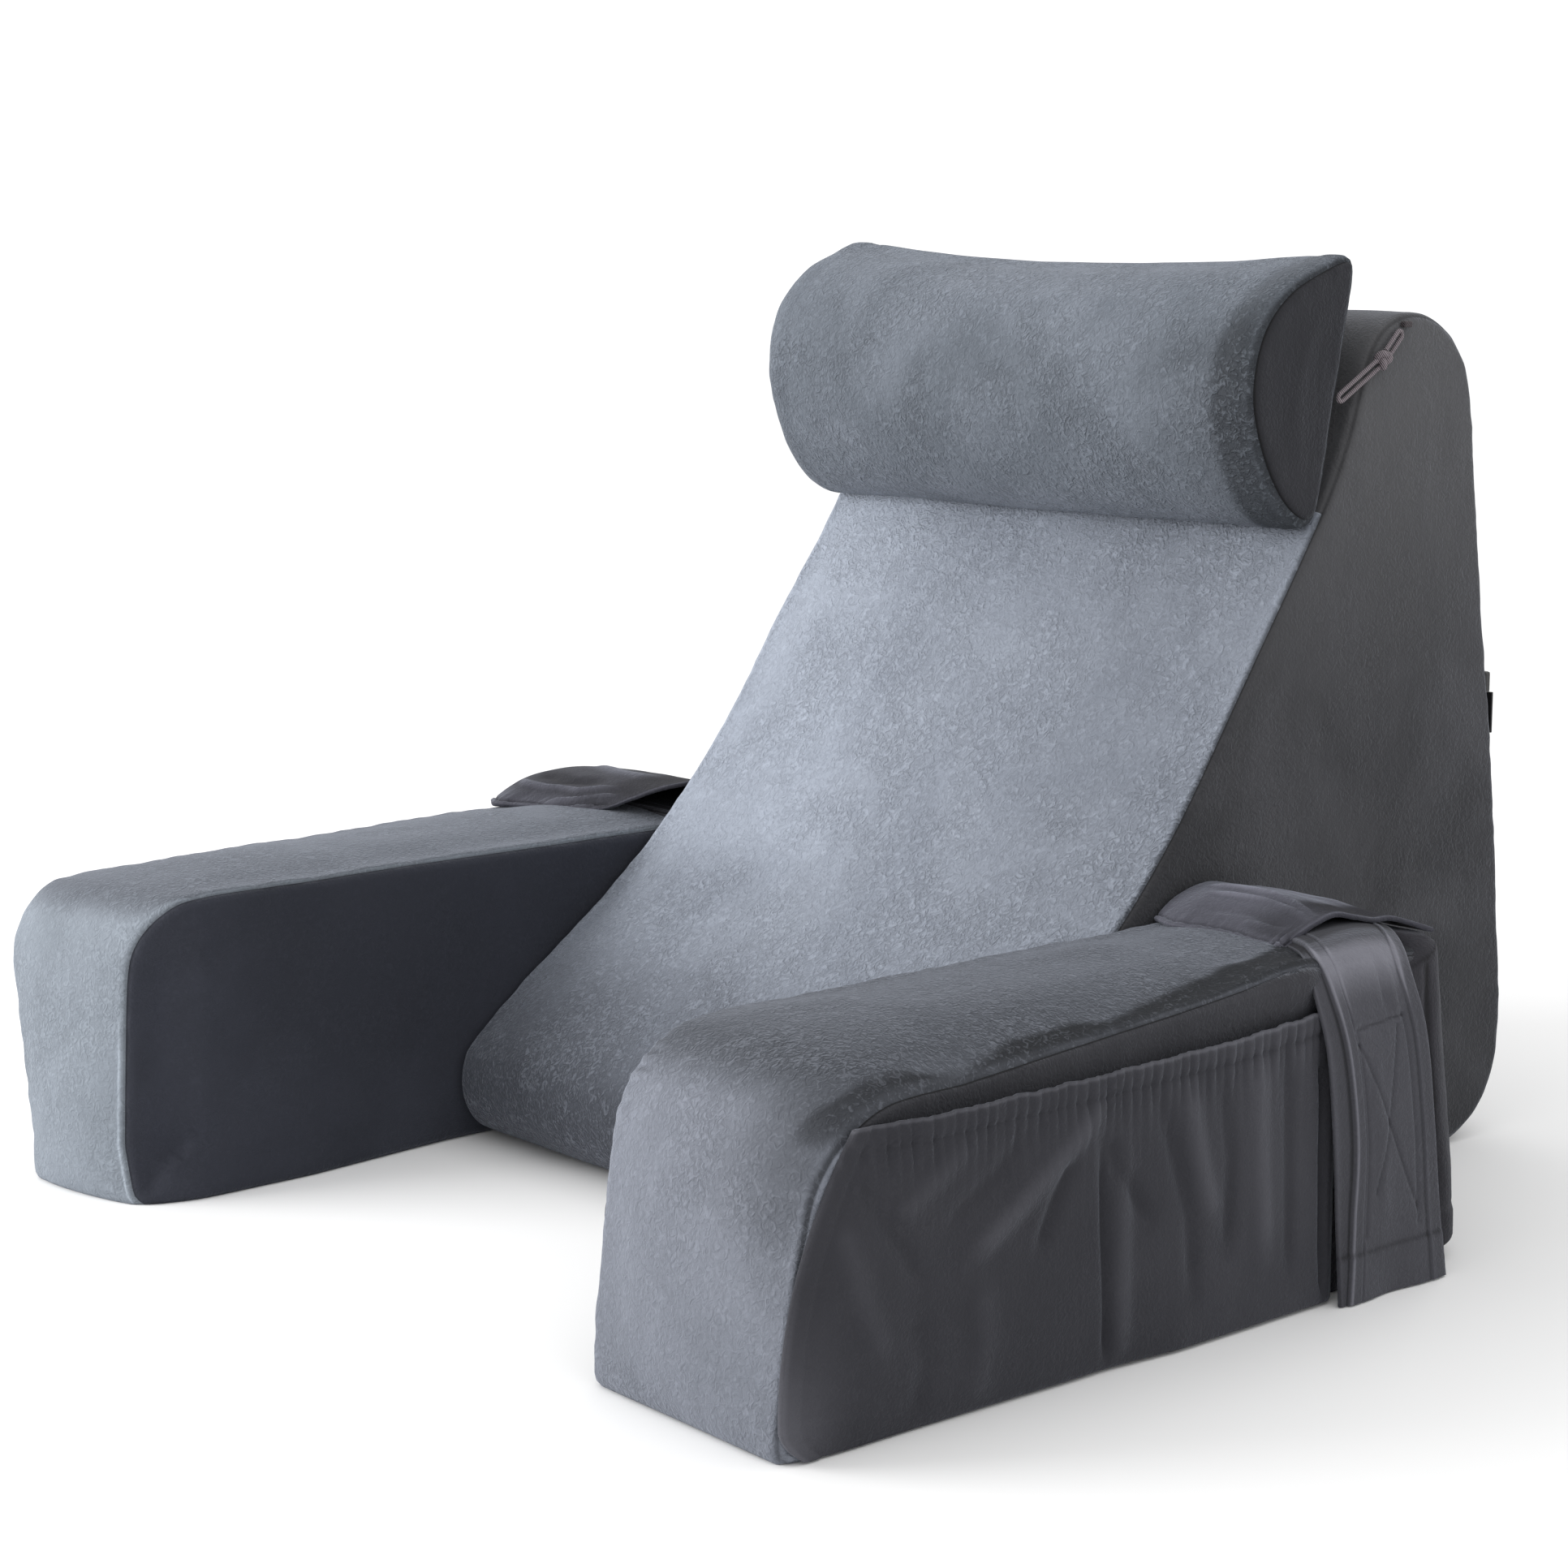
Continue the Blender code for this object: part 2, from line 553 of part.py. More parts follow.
def build():
    clear_scene()
    bpy.context.scene.collection.children.link(collection)

    front_velvet = make_material("backrest_velvet", (0.27, 0.30, 0.35), 0.85)
    roll_velvet = make_material("roll_velvet", (0.15, 0.17, 0.20), 0.85)
    arm_velvet = make_material("arm_velvet", (0.14, 0.15, 0.18), 0.88)
    pocket_cloth = make_material("pocket_cloth", (0.07, 0.07, 0.08), 0.90)
    hood_cloth = make_material("hood_cloth", (0.09, 0.09, 0.10), 0.90)
    strap_cloth = make_material("strap_cloth", (0.12, 0.12, 0.13), 0.88)
    elastic = make_material("elastic_cord", (0.22, 0.20, 0.23), 0.70)
    black_plastic = make_material("zip_black", (0.01, 0.01, 0.01), 0.40)

    cushion("backrest", backrest_outline(), backrest_sides, BACK_CROWN, BACK_BULGE, front_velvet)
    cushion("neck_roll", ROLL_SECTION, lambda y, z: (-ROLL_HALF, ROLL_HALF), ROLL_CROWN, 0.0030, roll_velvet,
            shoulder=0.75, warp=roll_set)
    arm_crown = (ARM_CROWN, ARM_CROWN, 0.0015, 0.0)
    cushion("arm_right", arm_outline(RIGHT_FRONT, 0.0110, 0.0640, 0.0045), right_sides, arm_crown, ARM_BULGE,
            arm_velvet, warp=right_set)
    cushion("arm_left", arm_outline(LEFT_FRONT, 0.0040, 0.0480, 0.0040), left_sides, arm_crown, ARM_BULGE,
            arm_velvet, warp=left_set)

    pocket("pocket_right", pocket_cloth)
    hood("hood_right", HOOD_RIGHT_INNER, HOOD_RIGHT_OUTER, hood_cloth)
    hood("hood_left", HOOD_LEFT_OUTER, HOOD_LEFT_INNER, hood_cloth)
    for side, word in ((1, "right"), (-1, "left")):
        sleeve("sleeve_" + word, side, hood_cloth)
        strap("strap_" + word, side, strap_cloth)
        roll_cords(word, side, elastic)
    back_zip(elastic, black_plastic)


build()
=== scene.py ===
"""Looks of the reading pillow with arms: velvet covers with sewn seams, a gathered side pocket,
hooded arm joints, folded straps, a neck roll on elastic cords and a back zip.

Metres, +Z up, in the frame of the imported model. The sitter faces -Y, the right arm is on +X.
"""
import math

import bmesh
import bpy
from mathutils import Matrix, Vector, noise
from mathutils.geometry import delaunay_2d_cdt
from mathutils.kdtree import KDTree


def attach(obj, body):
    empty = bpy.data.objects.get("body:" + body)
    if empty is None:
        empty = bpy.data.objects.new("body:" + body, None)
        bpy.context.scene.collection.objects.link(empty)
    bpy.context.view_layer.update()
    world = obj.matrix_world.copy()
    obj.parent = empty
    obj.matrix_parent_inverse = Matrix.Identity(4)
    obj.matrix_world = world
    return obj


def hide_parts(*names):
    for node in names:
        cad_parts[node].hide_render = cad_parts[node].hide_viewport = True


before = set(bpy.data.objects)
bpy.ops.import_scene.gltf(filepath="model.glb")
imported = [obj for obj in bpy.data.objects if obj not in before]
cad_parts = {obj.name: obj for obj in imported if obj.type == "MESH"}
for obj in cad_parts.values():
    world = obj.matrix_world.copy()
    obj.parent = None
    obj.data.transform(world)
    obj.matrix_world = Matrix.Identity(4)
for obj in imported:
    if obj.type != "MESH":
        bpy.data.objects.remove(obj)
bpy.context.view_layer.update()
scene = bpy.context.scene

# ---------------------------------------------------------------- driving dimensions
FLOOR_TOUCH = 0.0015          # below this height a cushion rests on the floor
LIP = 0.0022                  # depth of a sewn seam below the cloth on both sides of it
LIP_RADIUS = 0.0035           # radius of the cloth's roll down to the seam
RIM_GAP = 0.00002             # points of a sheet's two faces that lie closer together are one

BACK_HALF_BASE = 0.2195       # backrest: half width at the floor and at the top
BACK_HALF_TOP = 0.2175
BACK_LEFT_TUCK = 0.0035       # how much narrower its left half is at its top
BACK_TOP = 0.5465
BACK_REAR = 0.397
BACK_LEAN = 0.127             # how far the back leans forward for each unit of height
BACK_BEND = 0.19
BACK_LINE = 0.3845            # y of the back at that height
BACK_BOW = 0.004              # how far the rear bulges at the height of the zip

ARM_INNER = 0.2228            # arms: inner and outer face, rear end, height
ARM_OUTER = 0.37
ARM_REAR = 0.155
ARM_TOP = 0.1895
ARM_CORNER = 0.024            # outer rear corner's radius in plan
ARM_REAR_LEAN = 0.022
RIGHT_FRONT = -0.367
LEFT_FRONT = -0.397

ROLL_HALF = 0.2195            # half length of the neck roll

PUCKER_FADE = 0.009           # how far from a seam its short ripples reach
LUMPS = 0.085                 # distance between a cushion's wide lumps


# ---------------------------------------------------------------- number helpers
def mix(a, b, t):
    return a + (b - a) * t


def share(value, start, end):
    """How far value has gone from start to end, from 0 to 1."""
    return min(max((value - start) / (end - start), 0.0), 1.0)


def clamp(value):
    """The value, held between -1 and 1."""
    return min(max(value, -1.0), 1.0)


def ease(t):
    """Smooth step from 0 to 1."""
    return t * t * (3 - 2 * t)


def bump(distance, width):
    """Bell of height 1 at no distance, close to 0 at twice the width."""
    return math.exp(-(distance / width) ** 2)


def stripes(x, *marks):
    """Sum of soft stripes across x: each is (height, place, width)."""
    return sum(height * bump(x - place, width) for height, place, width in marks)


def wander(position, scale, seed=0.0):
    """Smooth noise from -1 to 1, its lumps about scale metres apart."""
    return noise.noise(Vector(position) / scale + Vector((seed, seed * 1.7, -seed)))


def along(points, t):
    """Smooth (Catmull-Rom) position at t, from 0 to 1, through equally weighted points."""
    spans = len(points) - 1
    span = min(int(t * spans), spans - 1)
    s = t * spans - span
    near = (points[max(span - 1, 0)], points[span], points[span + 1], points[min(span + 2, spans)])
    return tuple(
        0.5 * (2 * b + (c - a) * s + (2 * a - 5 * b + 4 * c - d) * s ** 2 + (3 * (b - c) - a + d) * s ** 3)
        for a, b, c, d in zip(*near))


def spline_weights(s):
    """Weights, six in all, of a cubic B-spline's four near points at s, from 0 to 1 in its span."""
    return (1 - s) ** 3, 3 * s ** 3 - 6 * s ** 2 + 4, -3 * s ** 3 + 3 * s ** 2 + 3 * s + 1, s ** 3


def nearest_on(points, p):
    """Distance from p to the line through points, and how far along it that is, from 0 to 1."""
    nearest, place = 1.0, 0.0
    for i, (a, b) in enumerate(zip(points, points[1:])):
        a, b = Vector(a), Vector(b)
        t = min(max((p - a).dot(b - a) / (b - a).length_squared, 0.0), 1.0)
        distance = (p - a.lerp(b, t)).length
        if distance < nearest:
            nearest, place = distance, (i + t) / (len(points) - 1)
    return nearest, place


# ---------------------------------------------------------------- camera, light and floor
def add_object(name, data):
    thing = bpy.data.objects.new(name, data)
    scene.collection.objects.link(thing)
    return thing


def aim(thing, target):
    thing.rotation_euler = (Vector(target) - thing.location).to_track_quat("-Z", "Y").to_euler()


def add_camera():
    """The photo's own view: its field is 27 degrees wide and the camera stands two metres away."""
    azimuth = math.radians(48.79)
    elevation = math.radians(9.27)
    distance = 2.0652
    target = Vector((-0.0325, -0.019, 0.2499))
    back = Vector((math.sin(azimuth) * math.cos(elevation), -math.cos(azimuth) * math.cos(elevation),
                   math.sin(elevation)))
    camera = add_object("camera", bpy.data.cameras.new("camera"))
    camera.data.sensor_width = 36.0
    camera.data.lens = 74.69
    camera.location = target + back * distance
    aim(camera, target)
    scene.camera = camera


def add_softbox(name, location, target, size, power):
    light = add_object(name, bpy.data.lights.new(name, "AREA"))
    light.data.shape = "RECTANGLE"
    light.data.size, light.data.size_y = size
    light.data.energy = power
    light.location = location
    aim(light, target)


def add_studio():
    world = bpy.data.worlds.new("studio")
    world.use_nodes = True
    background = world.node_tree.nodes["Background"]
    background.inputs["Color"].default_value = (1.0, 1.0, 1.0, 1.0)
    background.inputs["Strength"].default_value = 1.15
    scene.world = world
    scene.view_settings.view_transform = "Standard"

    add_softbox("key", (-1.7, -2.3, 1.2), (0.0, -0.05, 0.15), (1.6, 1.6), 60.0)

    mesh = bpy.data.meshes.new("floor")
    builder = bmesh.new()
    bmesh.ops.create_grid(builder, x_segments=1, y_segments=1, size=20.0)
    builder.to_mesh(mesh)
    builder.free()
    white = Graph("floor_white")
    white.shade({"Base Color": (0.9, 0.9, 0.9, 1.0), "Roughness": 1.0, "Specular IOR Level": 0.0})
    mesh.materials.append(white.material)
    add_object("floor", mesh)


# ---------------------------------------------------------------- materials
class Graph:
    """Short way to add and link the nodes of one material."""

    def __init__(self, name):
        self.material = bpy.data.materials.new(name)
        self.material.use_nodes = True
        self.tree = self.material.node_tree
        self.shader = self.tree.nodes["Principled BSDF"]

    def add(self, kind, inputs=None, **settings):
        node = self.tree.nodes.new("ShaderNode" + kind)
        for key, value in settings.items():
            setattr(node, key, value)
        self.feed(node, inputs or {})
        return node

    def feed(self, node, inputs):
        """Sets a node's inputs, each to a plain value or by a link from another node's output."""
        for key, value in inputs.items():
            if isinstance(value, bpy.types.NodeSocket):
                self.tree.links.new(value, node.inputs[key])
            else:
                node.inputs[key].default_value = value

    def shade(self, inputs):
        self.feed(self.shader, inputs)
        return self.material

    def place(self):
        return self.add("TexCoord").outputs["Object"]

    def stretch(self, vector, scale):
        return self.add("Mapping", {"Vector": vector, "Scale": scale}).outputs["Vector"]

    def axis(self, vector, name):
        return self.add("SeparateXYZ", {"Vector": vector}).outputs[name]

    def noise(self, vector, scale, detail=2.0, distortion=0.0):
        return self.add("TexNoise", {"Vector": vector, "Scale": scale, "Detail": detail,
                                     "Distortion": distortion}).outputs["Fac"]

    def ramp(self, value, low, high, to_low=0.0, to_high=1.0):
        return self.add("MapRange", {"Value": value, "From Min": low, "From Max": high,
                                     "To Min": to_low, "To Max": to_high},
                        interpolation_type="SMOOTHSTEP").outputs["Result"]

    def math(self, operation, a, b=0.0):
        return self.add("Math", {0: a, 1: b}, operation=operation).outputs[0]

    def blend(self, factor, a, b):
        return self.add("Mix", {0: factor, 6: a, 7: b}, data_type="RGBA").outputs[2]

    def bump(self, height, distance, normal=None, strength=1.0):
        inputs = {"Height": height, "Distance": distance, "Strength": strength}
        if normal is not None:
            inputs["Normal"] = normal
        return self.add("Bump", inputs).outputs["Normal"]


def rgb(*channels):
    """Linear colour of an sRGB one given as 0 to 255."""
    linear = [c / 255 / 12.92 if c <= 10 else ((c / 255 + 0.055) / 1.055) ** 2.4 for c in channels]
    return (*linear, 1.0)


def velvet(name, light, deep, fade=None, top=None, crush=0.6, sheen=0.25, blotch=7.0):
    """Short-pile velvet: blotches of brushed pile, patches of small crushed marks, fine grain.

    light and deep are the pile's two tones. fade = (axis, start, end, colour) turns to another
    colour along an axis, and top = (colour, axis, start, end) where the cloth faces along one:
    partly pile brushed the other way there, partly painted shade on faces that turn from the lamp.
    The mesh's own "tone" carries painted highlights (to 1) and painted shade (to -1), with some
    uneven pile, and the sheen dulls where it paints shade.
    """
    graph = Graph(name)
    place = graph.place()
    tone = graph.noise(place, blotch, 3.0, 0.8)
    colour = graph.blend(graph.ramp(tone, 0.28, 0.74), light, deep)
    if fade:
        axis, start, end, far = fade
        uneven = graph.math("MULTIPLY", graph.math("SUBTRACT", tone, 0.5), 0.1)
        height = graph.math("ADD", graph.axis(place, axis), uneven)
        colour = graph.blend(graph.ramp(height, start, end), colour, far)
    if top:
        turned, axis, start, end = top
        facing = graph.axis(graph.add("NewGeometry").outputs["Normal"], axis)
        colour = graph.blend(graph.ramp(facing, start, end), colour, turned)
    painted = graph.add("Attribute", attribute_name="tone").outputs["Fac"]
    # painted highlights blend towards a pale tint of the pile, painted shade towards black
    pale = tuple(min(c * 2.6 + 0.02, 1.0) for c in light[:3]) + (1.0,)
    colour = graph.blend(graph.ramp(painted, 0.0, 1.0), colour, pale)
    colour = graph.blend(graph.ramp(painted, -1.0, 0.0, 0.7, 0.0), colour, rgb(0, 0, 0))
    streak = graph.noise(graph.stretch(place, (1.0, 1.0, 0.35)), 60.0, 3.0)
    colour = graph.blend(graph.ramp(streak, 0.3, 0.7, 0.0, 0.08), colour, rgb(40, 41, 46))

    # small crushed marks, stronger in patches, about 4 mm apart
    marks = graph.noise(place, 230.0, 2.5, 1.6)
    patch = graph.ramp(graph.noise(place, 15.0, 3.0, 0.6), 0.38, 0.68, 0.45, 1.0)
    relief = graph.math("MULTIPLY", graph.math("SUBTRACT", marks, 0.5), patch)
    colour = graph.blend(graph.ramp(relief, -0.1, 0.04, 0.17 * crush, 0.0), colour, rgb(30, 31, 36))
    colour = graph.blend(graph.ramp(relief, 0.02, 0.12, 0.0, 0.12 * crush), colour, pale)

    grain = graph.noise(place, 1100.0, 2.0)
    normal = graph.bump(grain, 0.0005, strength=0.35)
    normal = graph.bump(relief, 0.005, normal, strength=crush)
    normal = graph.bump(streak, 0.0016, normal, strength=0.35)
    return graph.shade({
        "Base Color": colour, "Normal": normal, "Roughness": 0.85, "Specular IOR Level": 0.25,
        "Sheen Weight": graph.ramp(painted, -0.9, -0.2, 0.0, sheen), "Sheen Roughness": 0.4,
        "Sheen Tint": (0.8, 0.86, 1.0, 1.0)})


def braid(name, light, deep):
    """Braided elastic cord: a fine slanting weave."""
    graph = Graph(name)
    place = graph.place()
    weave = graph.add("TexWave", {"Vector": place, "Scale": 330.0, "Distortion": 2.0, "Detail": 1.0},
                      bands_direction="DIAGONAL").outputs["Fac"]
    grain = graph.noise(place, 1500.0)
    colour = graph.blend(graph.ramp(weave, 0.2, 0.8), deep, light)
    normal = graph.bump(weave, 0.0003, graph.bump(grain, 0.0002, strength=0.5))
    return graph.shade({"Base Color": colour, "Normal": normal, "Roughness": 0.7})


def moulded(name, colour, roughness):
    """Moulded black plastic or enamelled metal with a faint grain."""
    graph = Graph(name)
    place = graph.place()
    grain = graph.noise(place, 700.0, 3.0)
    worn = graph.blend(graph.ramp(grain, 0.5, 0.8, 0.0, 0.35), colour, rgb(70, 70, 74))
    normal = graph.bump(grain, 0.0002, strength=0.3)
    return graph.shade({"Base Color": worn, "Normal": normal, "Roughness": roughness})


# ---------------------------------------------------------------- mesh helpers
def add_piece(name, mesh, materials):
    for material in materials:
        mesh.materials.append(material)
    return add_object(name, mesh)


def paint(mesh, tones):
    """Stores at each vertex the painted highlight (to 1) or painted shade (to -1) on the pile, with some
    uneven pile.
    """
    mesh.attributes.new("tone", "FLOAT", "POINT").data.foreach_set("value", tones)


def grid_faces(rings, closed):
    """Quads between neighbouring rings of vertex numbers."""
    faces = []
    count = len(rings[0])
    for first, second in zip(rings, rings[1:]):
        for i in range(count if closed else count - 1):
            j = (i + 1) % count
            faces.append((first[i], first[j], second[j], second[i]))
    return faces


def finish_mesh(mesh, weld_rim=False):
    """Turns a closed mesh's faces outward and smooths it, the copies of its rim joined first."""
    builder = bmesh.new()
    builder.from_mesh(mesh)
    if weld_rim:
        rim = [vertex for vertex in builder.verts if vertex.is_boundary]
        bmesh.ops.remove_doubles(builder, verts=rim, dist=RIM_GAP)
    bmesh.ops.recalc_face_normals(builder, faces=builder.faces)
    builder.to_mesh(mesh)
    builder.free()
    mesh.shade_smooth()


# ---------------------------------------------------------------- outlines
def ring_point(control, parameter):
    """Point of the closed cubic B-spline with these control points."""
    count = len(control)
    i = int(parameter) % count
    s = parameter - int(parameter)
    near = (control[i - 1], control[i], control[(i + 1) % count], control[(i + 2) % count])
    return tuple(sum(w * p[k] for w, p in zip(spline_weights(s), near)) / 6 for k in (0, 1))


def ring_stops(control, spacing):
    """Spline parameters that lie spacing apart along the closed curve."""
    steps = 16
    total = len(control) * steps
    points = [ring_point(control, i / steps) for i in range(total + 1)]
    reach = [0.0]
    for a, b in zip(points, points[1:]):
        reach.append(reach[-1] + math.dist(a, b))
    count = round(reach[-1] / spacing)
    stops = []
    i = 0
    for k in range(count):
        goal = reach[-1] * k / count
        while reach[i + 1] < goal:
            i += 1
        stops.append((i + (goal - reach[i]) / (reach[i + 1] - reach[i])) / steps)
    return stops


def signed_area(ring):
    return 0.5 * sum(ring[i - 1][0] * z - y * ring[i - 1][1] for i, (y, z) in enumerate(ring))


def outward(ring, index):
    """Outward normal (y, z) of a closed outline at one of its points."""
    y0, z0 = ring[index - 1]
    y1, z1 = ring[(index + 1) % len(ring)]
    length = math.hypot(y1 - y0, z1 - z0)
    turn = 1 if signed_area(ring) > 0 else -1
    return turn * (z1 - z0) / length, -turn * (y1 - y0) / length


def grown(ring, crown):
    """The outline moved outward by its shares of crown = (front, rear, up, down)."""
    front, rear, up, down = crown
    result = []
    for index, (y, z) in enumerate(ring):
        ny, nz = outward(ring, index)
        move = front * max(-ny, 0) + rear * max(ny, 0) + up * max(nz, 0) + down * max(-nz, 0)
        result.append((y, z) if z < FLOOR_TOUCH else (y + ny * move, max(z + nz * move, 0.0)))
    return result


def arc(centre, radius, start, end, steps):
    """Points (y, z) of an arc, its angles in degrees from +y towards +z."""
    points = []
    for step in range(steps + 1):
        angle = math.radians(mix(start, end, step / steps))
        points.append((centre[0] + radius * math.cos(angle), centre[1] + radius * math.sin(angle)))
    return points


def claim(piece, node):
    """Puts a piece under the model's root in place of a node of the model, and hides that node."""
    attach(piece, "root")
    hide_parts(node)


# ---------------------------------------------------------------- cushions
SWELL_FRAMES = 20

# distances from a seam of the first rows on each side of it, close together for its rolled lips
SEAM_ROWS = (0.0, 0.0004, 0.001, 0.0018, 0.003, 0.0046, 0.0068, 0.01, 0.014, 0.019)
COARSE_SEAM_ROWS = (0.0, 0.008, 0.019)
PANEL_ROWS = SEAM_ROWS[1:]


def lip(distance, radius):
    """How deep the cloth lies near a seam: 1 at the seam, 0 beyond the radius of its roll."""
    return 1 - math.sqrt(1 - (1 - share(distance, 0.0, radius)) ** 2)


class Cushion:
    """A filled cushion: a band that follows an outline in y and z, and a panel at each end.

    sides(y, z) gives the x of the two seams. crown is how far the band swells to the front,
    rear, up and down, with a share of shoulder of it close to the seams. bulges are how far
    the middles of the two panels stand out. band_roll and each
    of panel_rolls are the (radius, depth) of the rolled edge beside a seam. warp(t, y, z)
    moves a point at t across the band to its own (y, z).
    """

    def __init__(self, control, sides, crown, bulges, band_roll, panel_rolls, shoulder=0.0, warp=None):
        self.control = control
        self.crowned = grown(control, crown)
        self.sides = sides
        self.bulges = bulges
        self.band_roll = band_roll
        self.panel_rolls = panel_rolls
        self.shoulder = shoulder
        self.warp = warp or (lambda t, y, z: (y, z))

    def rows(self, stops, spacing, seam_rows, panel_rows):
        """Rows across the cover, from the low panel's edge over the band to that of the high panel.

        Each row is (points, u, region, e): u runs from 0 to 1 over the band, region is 0, 1 or 2
        for the low panel, the band and the high panel, and e is the distance from the nearest seam.
        """
        seam = [ring_point(self.control, s) for s in stops]
        full = [ring_point(self.crowned, s) for s in stops]
        count = len(seam)
        normals = [outward(seam, i) for i in range(count)]
        turned = normals
        smooth_over = 0.015
        for _ in range(round(2 * (smooth_over / spacing) ** 2)):
            nearby = [(turned[i - 1], turned[i], turned[(i + 1) % count]) for i in range(count)]
            turned = [tuple((a[k] + 2 * b[k] + c[k]) / 4 for k in (0, 1)) for a, b, c in nearby]
        low, high = self.sides(0.0, 0.1)
        insets = [roll[1] + LIP / 2 for roll in self.panel_rolls]

        def panel_row(e, number):
            points = []
            for (sy, sz), sharp, soft in zip(seam, normals, turned):
                q = ease(share(e, 0.0, 0.008))
                ny, nz = mix(sharp[0], soft[0], q), mix(sharp[1], soft[1], q)
                y, z = sy - ny * (LIP / 2 + e), sz - nz * (LIP / 2 + e)
                points.append(self.panel_point(y, z, e, number, sy))
            return points, float(number), 2 * number, e

        def band_row(d, width):
            t = d / width
            e = min(d, width - d)
            radius, depth = self.band_roll
            lift = LIP / 2 - LIP * lip(e, LIP_RADIUS) + depth * (1 - lip(e, radius))
            crown = mix(self.shoulder * share(e, 0.0, 0.012), 1.0, 1 - abs(2 * t - 1) ** 3)
            points = []
            for (sy, sz), (fy, fz), (ny, nz) in zip(seam, full, normals):
                start, end = self.sides(sy, sz)
                x = mix(start + insets[0], end - insets[1], t)
                y, z = mix(sy, fy, crown), mix(sz, fz, crown)
                if sz > FLOOR_TOUCH:
                    y, z = y + ny * lift, z + nz * lift
                y, z = self.warp(t, y, z)
                points.append(Vector((x, y, max(z, 0.0))))
            return points, t, 1, e

        width = high - low - insets[0] - insets[1]
        edge = seam_rows[-1]
        steps = max(round((width - 2 * edge) / spacing), 2)
        inner = [mix(edge, width - edge, i / steps) for i in range(1, steps)]
        across = list(seam_rows) + inner + [width - e for e in reversed(seam_rows)]
        rows = [panel_row(e, 0) for e in reversed(panel_rows)] + [band_row(d, width) for d in across]
        return rows + [panel_row(e, 1) for e in panel_rows]

    def panel_point(self, y, z, e, number, seam_y=None):
        """Point of a side panel, e from its seam."""
        radius, depth = self.panel_rolls[number]
        sign = 1 if number else -1
        x = self.sides(y if seam_y is None else seam_y, z)[number]
        swelling = self.bulges[number] * ease(share(e, 0.0, 0.08))
        x += sign * (swelling + LIP / 2 - LIP * lip(e, LIP_RADIUS) - depth * lip(e, radius))
        y, z = self.warp(float(number), y, z)
        return Vector((x, y, max(z, 0.0)))

    def unwarped(self, number, y, z):
        """Where a side panel's point was before warp."""
        rest_y, rest_z = y, z
        for _ in range(4):
            moved_y, moved_z = self.warp(float(number), rest_y, rest_z)
            rest_y, rest_z = rest_y + y - moved_y, rest_z + z - moved_z
        return rest_y, rest_z

    def panel_inside(self, ring, e, number, spacing):
        """Points and triangles that fill a side panel inside ring, its innermost row."""
        flat = [(p.y, p.z) for p in ring]
        low = [min(p[k] for p in flat) for k in (0, 1)]
        high = [max(p[k] for p in flat) for k in (0, 1)]
        grid = []
        row_step = spacing * math.sqrt(0.75)
        for j in range(1, int((high[1] - low[1]) / row_step)):
            z = low[1] + j * row_step
            sides = zip(flat, flat[1:] + flat[:1])
            crossings = sorted(y0 + (z - z0) / (z1 - z0) * (y1 - y0)
                               for (y0, z0), (y1, z1) in sides if (z0 < z) != (z1 < z))
            for start, end in zip(crossings[::2], crossings[1::2]):
                steps = int((end - start) / spacing)
                grid += [(mix(start, end, (i + 0.5 * (j % 2)) / steps), z) for i in range(1, steps)]
        count = len(flat)
        border = KDTree(count)
        for i, p in enumerate(flat):
            border.insert((p[0], p[1], 0.0), i)
        border.balance()
        grid = [p for p in grid if border.find((p[0], p[1], 0.0))[2] > 0.7 * spacing]
        edges = [(i, (i + 1) % count) for i in range(count)]
        found = delaunay_2d_cdt([Vector(p) for p in flat + grid], edges, [], 1, 1e-6)
        inside, known = [], []
        for (y, z), origin in zip(found[0], found[3]):
            if origin and origin[0] < count:
                known.append(origin[0])
            else:
                _, nearest, away = border.find((y, z, 0.0))
                rest_y, rest_z = self.unwarped(number, y, z)
                point = self.panel_point(rest_y, rest_z, e + away, number)
                point.x = mix(ring[nearest].x, point.x, ease(share(away, 0.0, 0.03)))
                known.append(count + len(inside))
                inside.append(point)
        return inside, [tuple(known[i] for i in face) for face in found[2]]


def row_mesh(name, lines, ends=None):
    """A closed mesh over rows of points. Its two ends are closed by (points, triangles) or a fan."""
    count = len(lines[0])
    points = [p for line in lines for p in line]
    numbers = [[r * count + i for i in range(count)] for r in range(len(lines))]
    faces = grid_faces(numbers, True)
    for index, ring in enumerate((numbers[0], numbers[-1])):
        if ends:
            inside, triangles = ends[index]
            first = len(points)
            points += inside
            known = ring + list(range(first, first + len(inside)))
            faces += [tuple(known[i] for i in face) for face in triangles]
        else:
            points.append(sum((points[i] for i in ring), Vector()) / count)
            faces += [(ring[i], ring[(i + 1) % count], len(points) - 1) for i in range(count)]
    mesh = bpy.data.meshes.new(name)
    mesh.from_pydata(points, [], faces)
    finish_mesh(mesh)
    return mesh


